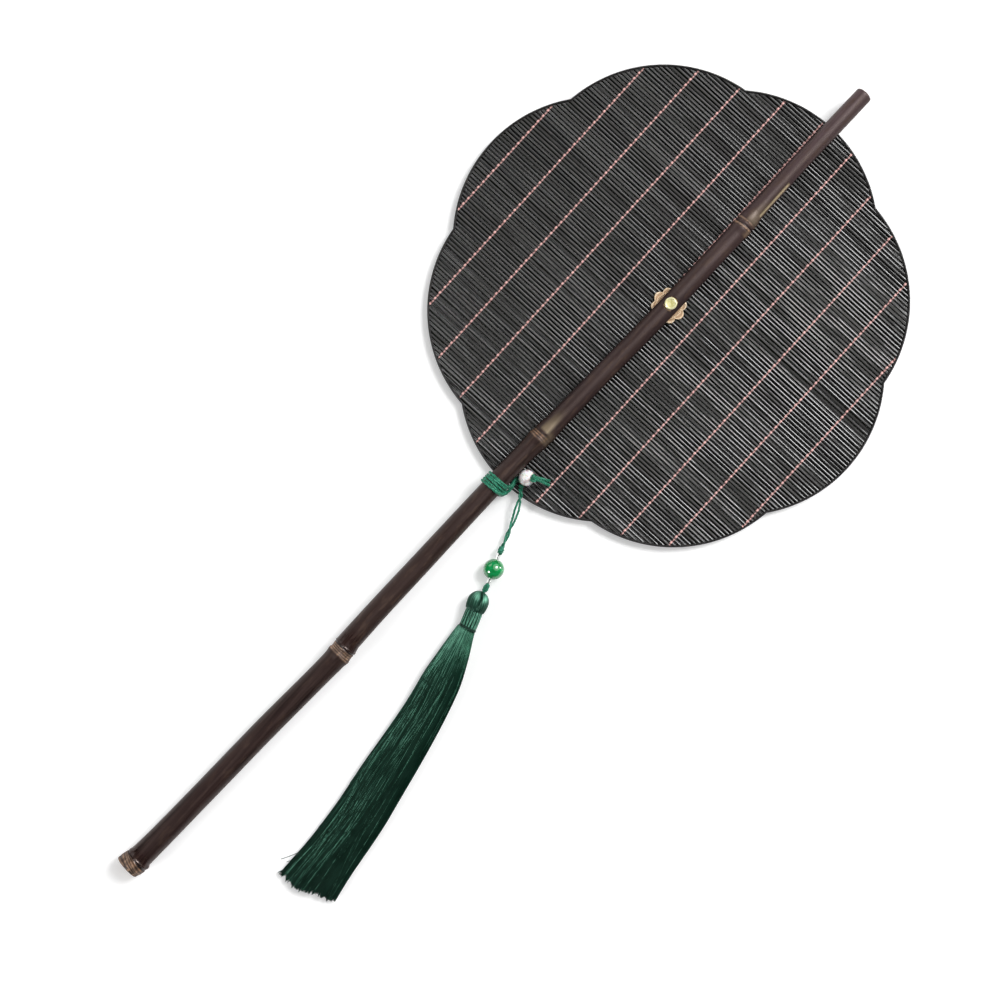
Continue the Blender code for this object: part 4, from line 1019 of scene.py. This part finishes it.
# loop that carries the tassel: a doubled cord
loop = {"middle": (26.905, -42.219, 5.1), "line": (0.22, -0.975, 0.0), "halfLength": 2.05, "halfWidth": 0.72,
        "halfHeight": 0.5, "diameter": 0.0017, "plies": 3, "lay": 0.0060}
loopLine = Vector(loop["line"]).normalized()
loopSide = Vector((-loopLine.y, loopLine.x, 0))
loopGuides = [(Vector(loop["middle"]) + loop["halfLength"] * math.cos(t) * loopLine
               + loop["halfWidth"] * math.sin(t) * loopSide
               + Vector((0, 0, loop["halfHeight"] * math.sin(t)))) * mm for t in np.linspace(0, 2 * math.pi, 33)]
layCord("tasselLoop", loopGuides, loop, "pendant", "tassel_loop", slot="green_silk")

# head: strands folded over the loop, parted on top into two lobes, drawn in at the neck
head = {
    "middle": (28.64, -49.93, 5.4),
    "line": (0.34, -0.94, 0.0),
    "radius": 5.4,
    "waist": 0.93 * 4.35,  # a share of the neck's radius
    "parting": math.pi / 2 - 0.22,
    "cleft": (3.0, 0.8),  # depth and half width
    "shape": (0.8, 0.95),  # how round the lower half is, and its length
    "cleftEnd": (1.3, 0.58 * math.pi, 0.7),  # share of a polar angle, that angle, and how evenly it fades
    "strands": 260,
    "strandRadius": 0.21,
    "rings": 34,
    "span": (0.10, 0.86 * math.pi),
    "unevenness": 0.012,
    "sway": 0.05,
    "locks": 30,
    "lockRise": 0.08,
    "sunk": (-0.30, 0.05),  # least, and by chance, so that the strands' tops lie on the head's outline
    "fillSunk": -0.40,
    "fillSpan": 0.86,
    "fillTone": 0.12,
    "tones": (0.36, 0.16, 0.10),  # middle, from lock to lock and from strand to strand
    # painted highlight and shade: how much paler or darker, at which polar angle and over what width: crest of the
    # lobe, fold over the neck
    "crest": (0.60, 1.0, 0.45),
    "fold": (-0.22, 2.3, 0.3),
    "crestAside": (2.6, 1.7),  # of the painted highlight on the crests: distance from the cleft and width
    "cleftShade": (-0.40, 0.9, 2.2),  # how much darker, over what width and up to which polar angle
}
dice = np.random.default_rng(5)
tasselLine = np.array(Vector(head["line"]).normalized())
tasselSide = np.array([-tasselLine[1], tasselLine[0], 0])


def fromParting(around):
    return np.angle(np.exp(1j * (around - head["parting"])))


def headPoint(polar, around, lift=0.0):
    # a point on the head: polar from the loop's end to the neck, around from its right side over the top
    radius, waist = head["radius"], head["waist"]
    (roundness, length), (depth, halfWidth), (cleftLength, cleftSpan, fading) = (
        head[key] for key in ("shape", "cleft", "cleftEnd"))
    out = np.where(polar < math.pi / 2, radius * np.sin(polar),
                   waist + (radius - waist) * np.clip(np.sin(polar), 0, 1) ** roundness)
    ahead = -radius * np.cos(polar) * np.where(polar < math.pi / 2, 1.0, length)
    fade = np.clip(cleftLength - polar / cleftSpan, 0, 1) ** fading
    cleft = depth * np.exp(-(fromParting(around) * np.maximum(out, 0.8) / halfWidth) ** 2) * fade
    out = np.maximum(out - cleft, 0.15) + lift
    return coiled(head["middle"], tasselLine, tasselSide, ahead, out, around) * mm


polar = np.linspace(*head["span"], head["rings"])
middleTone, lockTone, strandTone = head["tones"]
crestAside, crestWidth = head["crestAside"]
cleftShade, cleftWidth, cleftReach = head["cleftShade"]
paths, tones = [], []
crest, fold = (shade * np.exp(-((polar - at) / width) ** 2) for shade, at, width in (head["crest"], head["fold"]))
turns = 2 * math.pi * np.arange(head["strands"]) / head["strands"]
for angle in turns + head["unevenness"] * dice.standard_normal(head["strands"]):
    sway = head["sway"] * np.sin(2 * polar + 0.8 * math.sin(5 * angle))
    rounded = np.cos(angle * head["locks"])
    lift = head["sunk"][0] + head["sunk"][1] * dice.random() + head["lockRise"] * rounded
    paths.append(headPoint(polar, angle + sway, lift))
    away = abs(fromParting(angle)) * np.sin(polar) * head["radius"]
    # tone: locks and strands at random, a painted highlight on the lobes' crests, painted shade in the cleft and over
    # the fold to the neck
    tones.append(middleTone + lockTone * rounded + strandTone * dice.standard_normal()
                 + crest * np.exp(-((away - crestAside) / crestWidth) ** 2)
                 + cleftShade * np.exp(-(away / cleftWidth) ** 2) * np.clip(cleftReach - polar, 0, 1) + fold)
placeSilk("tasselHead", paths, head["strandRadius"] * mm, 6, tones, "tassel_head")

bm = bmesh.new()
bmesh.ops.create_uvsphere(bm, u_segments=96, v_segments=64, radius=1.0)
for vert in bm.verts:
    tilt = math.acos(max(-1, min(1, vert.co.z)))
    vert.co = Vector(headPoint(np.array(tilt * head["fillSpan"]), math.atan2(vert.co.y, vert.co.x), head["fillSunk"]))
bmesh.ops.recalc_face_normals(bm, faces=bm.faces)
mesh = meshFrom("headFill", bm, 80)
paint(mesh, tone=np.full(len(mesh.vertices), head["fillTone"]))
place("headFill", mesh, silkMaterial, "tassel", "green_silk")

# neck: locks of strands laid close, bound at the lower edge by a dark thread
neck = {
    "top": (30.33, -54.57, 5.4),
    "radius": 4.35,
    "strands": 210,
    "strandRadius": 0.17,
    "rings": 18,
    "span": (-0.9, 9.6),
    # how much it is drawn in, where, and over what length: by the binding and under the head
    "drawnIn": ((0.35, 8.9, 0.7), (0.25, -0.4, 0.8)),
    "locks": 17,
    "furrow": 0.18,
    "sunk": (0.30, 0.10),
    "uneven": 0.3,  # of the distance between strands
    "sway": (0.06, 0.45),
    "tones": (0.27, 0.52, 0.08),  # middle, from lock to lock and from strand to strand
}
step = np.linspace(*neck["span"], neck["rings"])
drawnIn = sum(depth * np.exp(-((step - middle) / width) ** 2) for depth, middle, width in neck["drawnIn"])
paths = []
for number in range(neck["strands"]):
    angle = 2 * math.pi * (number + neck["uneven"] * dice.random()) / neck["strands"]
    swirl = angle + neck["sway"][0] * np.sin(step * neck["sway"][1] + 6 * dice.random())
    out = neck["radius"] - neck["sunk"][0] + neck["sunk"][1] * dice.random()
    out = out + neck["furrow"] * np.cos(angle * neck["locks"]) - drawnIn
    paths.append(coiled(neck["top"], tasselLine, tasselSide, step, out, swirl))
middleTone, lockTone, strandTone = neck["tones"]
tones = middleTone + lockTone * np.cos(2 * math.pi * np.arange(neck["strands"]) / neck["strands"] * neck["locks"])
tones = tones + strandTone * dice.standard_normal(neck["strands"])
placeSilk("tasselNeck", np.array(paths) * mm, neck["strandRadius"] * mm, 6, tones, "neck_binding")

binding = {"place": 8.9, "pitch": 0.36, "turns": 2.5, "points": 90, "radius": 4.22, "slant": 0.45,
           "diameter": 0.0007, "plies": 2, "lay": 0.0014}
angle = np.linspace(0, 2 * math.pi * binding["turns"], binding["points"])
reach = binding["place"] + (angle / (2 * math.pi) - binding["turns"] / 2) * binding["pitch"]
layCord("neckThread", coiled(neck["top"], tasselLine, tasselSide, reach + binding["slant"] * np.cos(angle),
                             binding["radius"], angle) * mm,
        binding, "tassel", material=silkMaterial, slot="green_silk", tones=(0.1, 0.1))

# skirt: fine strands that leave the neck, spread and lie on the table
skirt = {
    # its centre line on the table, and its half width and half height there
    "line": (
        (33.25, -63.6, 4.4, 4.25), (34.75, -68.75, 5.4, 4.7), (38.25, -79.75, 7.4, 4.6),
        (41.65, -91.6, 9.1, 4.23), (45.85, -108.05, 9.8, 3.87), (49.35, -126.3, 10.7, 3.6),
        (52.95, -147.8, 11.6, 3.33), (56.8, -169.3, 12.1, 3.02), (59.5, -192.8, 12.6, 2.66),
        (60.85, -206.95, 13.7, 2.43), (61.95, -216.3, 14.5, 2.25),
    ),
    # count, locks, depth in the section from and to, rings, wander of a lock and of a strand in it, radius, tone of
    # the dark locks and of the pale ones, share of pale ones, and how much a strand's tone rises and falls along its
    # way as painted glints
    "layers": (
        (1150, 60, 0.72, 0.95, 20, 0.04, 0.05, 0.13, 0.08, 0.26, 0.10, 0.1),
        (520, 40, 0.00, 0.72, 16, 0.05, 0.05, 0.13, 0.05, 0.16, 0.10, 0.1),
        (780, 160, 0.92, 1.00, 40, 0.05, 0.060, 0.11, 0.06, 0.30, 0.34, 0.45),
        (800, 440, 0.96, 1.05, 40, 0.06, 0.085, 0.068, 0.15, 1.00, 0.36, 0.60),
    ),
    "widest": 1.08,
    "taper": (1.15, 0.8),
    "lockSpread": (0.6, 0.42),  # unevenness of the locks' places, and half of a lock's share of the way round
    "loosening": (4, 0.7, 0.7),  # how soon under the neck, how much there, and how much more at the hem
    "ownWander": (0.4, 0.8, 1.3, 2.6),  # of some strands more than of others
    "tones": (0.25, 0.6, 1.0, 1.4),
    # painted sheen just below the neck: how much paler, and over what length
    "paleUnderNeck": (1.0, 18.0),
    # painted shade towards the skirt's left and right edges
    "darkEdges": 0.6,
    "darkHem": 0.38,
    # the hem: its locks, how ragged they are, how frayed each is, and the share of the skirt by which the ends
    # hang longer, from its left corner to its right one
    "hemLocks": 64,
    "ragged": (-0.012, 0.003),
    "fray": 0.012,
    "hang": (-0.006, 0.002, 0.007, 0.006, -0.010, -0.017, -0.022, -0.026),
}
skirtLine = np.array(skirt["line"]) * mm
skirtReach = distances(skirtLine[:, :2])
skirtEnd = skirtReach[-1]
hemPlaces = np.sort(dice.uniform(-1, 1, skirt["hemLocks"]))
hemEnds = dice.uniform(*skirt["ragged"], skirt["hemLocks"])


def skirtPoints(travelled, u, v, lowest):
    # from places in the skirt's oval section, at distances down the skirt, to points
    column = [smoothThrough(skirtReach, skirtLine[:, number], np.minimum(travelled, skirtEnd)) for number in range(4)]
    beyond = np.maximum(travelled - skirtEnd, 0)
    heading = skirtLine[-1, :2] - skirtLine[-2, :2]
    heading = heading / np.linalg.norm(heading)
    x, y = column[0] + beyond * heading[0], column[1] + beyond * heading[1]
    slopeX, slopeY = np.gradient(x, axis=1), np.gradient(y, axis=1)
    size = np.hypot(slopeX, slopeY)
    oval = np.sqrt(np.clip(1 - u ** 2, 0.02, 1))
    height = np.maximum(column[3] + np.clip(v, -1.04, 1.04) * oval * column[3], lowest)
    return np.stack([x - slopeY / size * u * column[2], y + slopeX / size * u * column[2], height], axis=2)


lockUneven, lockHalf = skirt["lockSpread"]
loosenSoon, loosenFirst, loosenMore = skirt["loosening"]
boost, boostLength = skirt["paleUnderNeck"]
for number, layer in enumerate(skirt["layers"], 1):
    count, locks, inner, outer, rings, lockWander, wander, radius, darkTone, paleTone, paleShare, shimmer = layer
    down = np.linspace(0, 1, rings)
    tight = rings // 12
    chosen = dice.integers(0, locks, count)
    lockAngle = 2 * math.pi * (np.arange(locks) + lockUneven * dice.random(locks)) / locks
    lockU = smoothField(dice, locks, rings, (0, 3 * tight)) * lockWander
    lockV = smoothField(dice, locks, rings, (0, 2 * tight)) * lockWander * 0.6
    depth = np.sqrt(inner ** 2 + (outer ** 2 - inner ** 2) * dice.random(count))
    angle = lockAngle[chosen] + 2 * math.pi / locks * lockHalf * dice.uniform(-1, 1, count)
    u, v = depth * np.cos(angle), depth * np.sin(angle)
    v = v / np.sqrt(np.clip(1 - np.minimum(u ** 2, 0.98), 0.02, 1))
    loosening = np.clip(down * loosenSoon, 0, 1) * (loosenFirst + loosenMore * down)
    own = wander * dice.choice(skirt["ownWander"], (count, 1))
    u = u[:, None] + (lockU[chosen] + smoothField(dice, count, rings, (0, 2 * tight)) * own) * loosening
    v = v[:, None] + (lockV[chosen] + smoothField(dice, count, rings, (0, tight)) * wander) * loosening
    u = np.clip(u, -skirt["widest"], skirt["widest"])
    ends = 1 + np.interp(u[:, -1], hemPlaces, hemEnds) - skirt["fray"] * dice.exponential(1.0, count).clip(0, 3)
    ends += np.interp(u[:, -1], np.linspace(-1, 1, len(skirt["hang"])), skirt["hang"])
    travelled = ends[:, None] * down * skirtEnd
    lockTones = np.where(dice.random(locks) < paleShare, paleTone, darkTone) * dice.uniform(0.7, 1.2, locks)
    tones = lockTones[chosen] * dice.choice(skirt["tones"], count)
    # painted glints: each strand's tone rising and falling along its way
    tones = tones[:, None] * np.clip(1 + shimmer * smoothField(dice, count, rings, (0, tight)), 0.1, 1.8)
    # painted shade towards the side edges, and darker towards the hem
    tones *= (1 - skirt["darkEdges"] * np.abs(np.clip(u, -1, 1)) ** 6) * (1 - skirt["darkHem"] * down)
    # painted sheen: strands paler just below the neck, more on the right
    underNeck = boost * np.exp(-(travelled / (boostLength * mm)) ** 2)
    tones += underNeck * dice.choice(skirt["tones"][:3], (count, 1)) * (1 + 0.25 * u)
    placeSilk(f"skirtStrands{number}", skirtPoints(travelled, u, v, radius * mm),
              radius * mm * np.linspace(*skirt["taper"], rings), 3, tones, *(["tassel_skirt"] if number == 1 else []))

# a few hairs that stand away from the skirt
strays = {
    # start and end down the skirt, side at the start and at the end
    "hairs": ((0.875, 0.953, -0.97, -1.38), (0.915, 0.950, -0.97, -1.16), (0.950, 0.994, -0.96, -1.15),
              (0.945, 0.990, -0.96, -1.14), (0.30, 0.62, -0.98, -1.09), (0.42, 0.72, -0.97, -1.07),
              (0.55, 0.80, -0.97, -1.09), (0.60, 0.90, 0.97, 1.05)),
    "radius": 0.16,
    "rings": 14,
    "tone": 0.45,
}
paths = []
for start, end, sideStart, sideEnd in strays["hairs"]:
    down = np.linspace(start, end, strays["rings"])[None]
    bow = np.linspace(0, 1, strays["rings"])[None]
    side = sideStart + (sideEnd - sideStart) * bow ** 1.5
    paths.append(skirtPoints(down * skirtEnd, side, -0.2 - 0.7 * bow, strays["radius"] * mm)[0])
placeSilk("strayHairs", paths, strays["radius"] * mm, 4, np.full(len(paths), strays["tone"]))
print("tassel made")

# Floor and light: a white table, a key and a wide soft panel from the picture's upper right, a fill from its lower
# left, a low lamp from its right and a weak one from its upper left
studio = {
    # direction, distance, width and power
    "lamps": {
        "key": ((0.137, 0.632, 0.767), 2.4, 0.9, 42.0),
        "panel": ((0.137, 0.632, 0.767), 2.4, 3.6, 36.0),
        "fill": ((-0.281, -0.836, 0.469), 1.8, 0.62, 14.0),
        "low": ((0.580, 0.805, 0.122), 1.6, 0.30, 4.0),
        "side": ((-0.900, 0.160, 0.400), 1.8, 1.2, 4.0),
    },
    "world": 0.05,
    "floor": 0.82,
    "floorSize": 3.0,
    "floorDrop": 0.0002,
    "glow": (0.28, 1.0, 0.5, 1.3),  # near the fan and far off, and where it starts and ends to rise
}
for name, (direction, distance, size, power) in studio["lamps"].items():
    lampData = bpy.data.lights.new(name, "AREA")
    lampData.shape = "DISK"
    lampData.size = size
    lampData.energy = power
    lamp = addObject(name, lampData)
    lamp.location = Vector(direction).normalized() * distance
    lamp.rotation_euler = Vector(direction).to_track_quat("Z", "Y").to_euler()


def seenDirectly():
    # 1 for what the camera sees itself or through glass
    rays = put("ShaderNodeLightPath").outputs
    return maths("MAXIMUM", rays["Is Camera Ray"], rays["Is Transmission Ray"])


world = bpy.data.worlds.new("studio")
bpy.context.scene.world = world
world.use_nodes = True
ambient = world.node_tree.nodes["Background"]
ambient.inputs["Color"].default_value = (1, 1, 1, 1)
making["tree"] = world.node_tree
world.node_tree.links.new(scaled(seenDirectly(), studio["world"], 1.0), ambient.inputs["Strength"])

bm = bmesh.new()
bmesh.ops.create_grid(bm, x_segments=4, y_segments=4, size=studio["floorSize"])
bmesh.ops.translate(bm, vec=(0, 0, -studio["floorDrop"]), verts=bm.verts)
floor = addObject("floor", meshFrom("floor", bm))
floorMaterial = bpy.data.materials.new("whiteTable")
floorMaterial.use_nodes = True
making["tree"] = tree = floorMaterial.node_tree
tree.nodes.remove(tree.nodes["Principled BSDF"])
matt = put("ShaderNodeBsdfDiffuse", Color=(studio["floor"], studio["floor"], studio["floor"], 1))
spot = put("ShaderNodeTexCoord").outputs["Object"]
farOff = put("ShaderNodeVectorMath", {"operation": "LENGTH"}, i0=spot).outputs["Value"]
glow = put("ShaderNodeEmission", Strength=times(seenDirectly(), scaled(farOff, *studio["glow"])))
both = put("ShaderNodeAddShader", i0=matt.outputs[0], i1=glow.outputs[0])
tree.links.new(both.outputs[0], tree.nodes["Material Output"].inputs["Surface"])
floor.data.materials.append(floorMaterial)

bpy.context.scene.view_settings.view_transform = "Standard"
print("studio made")
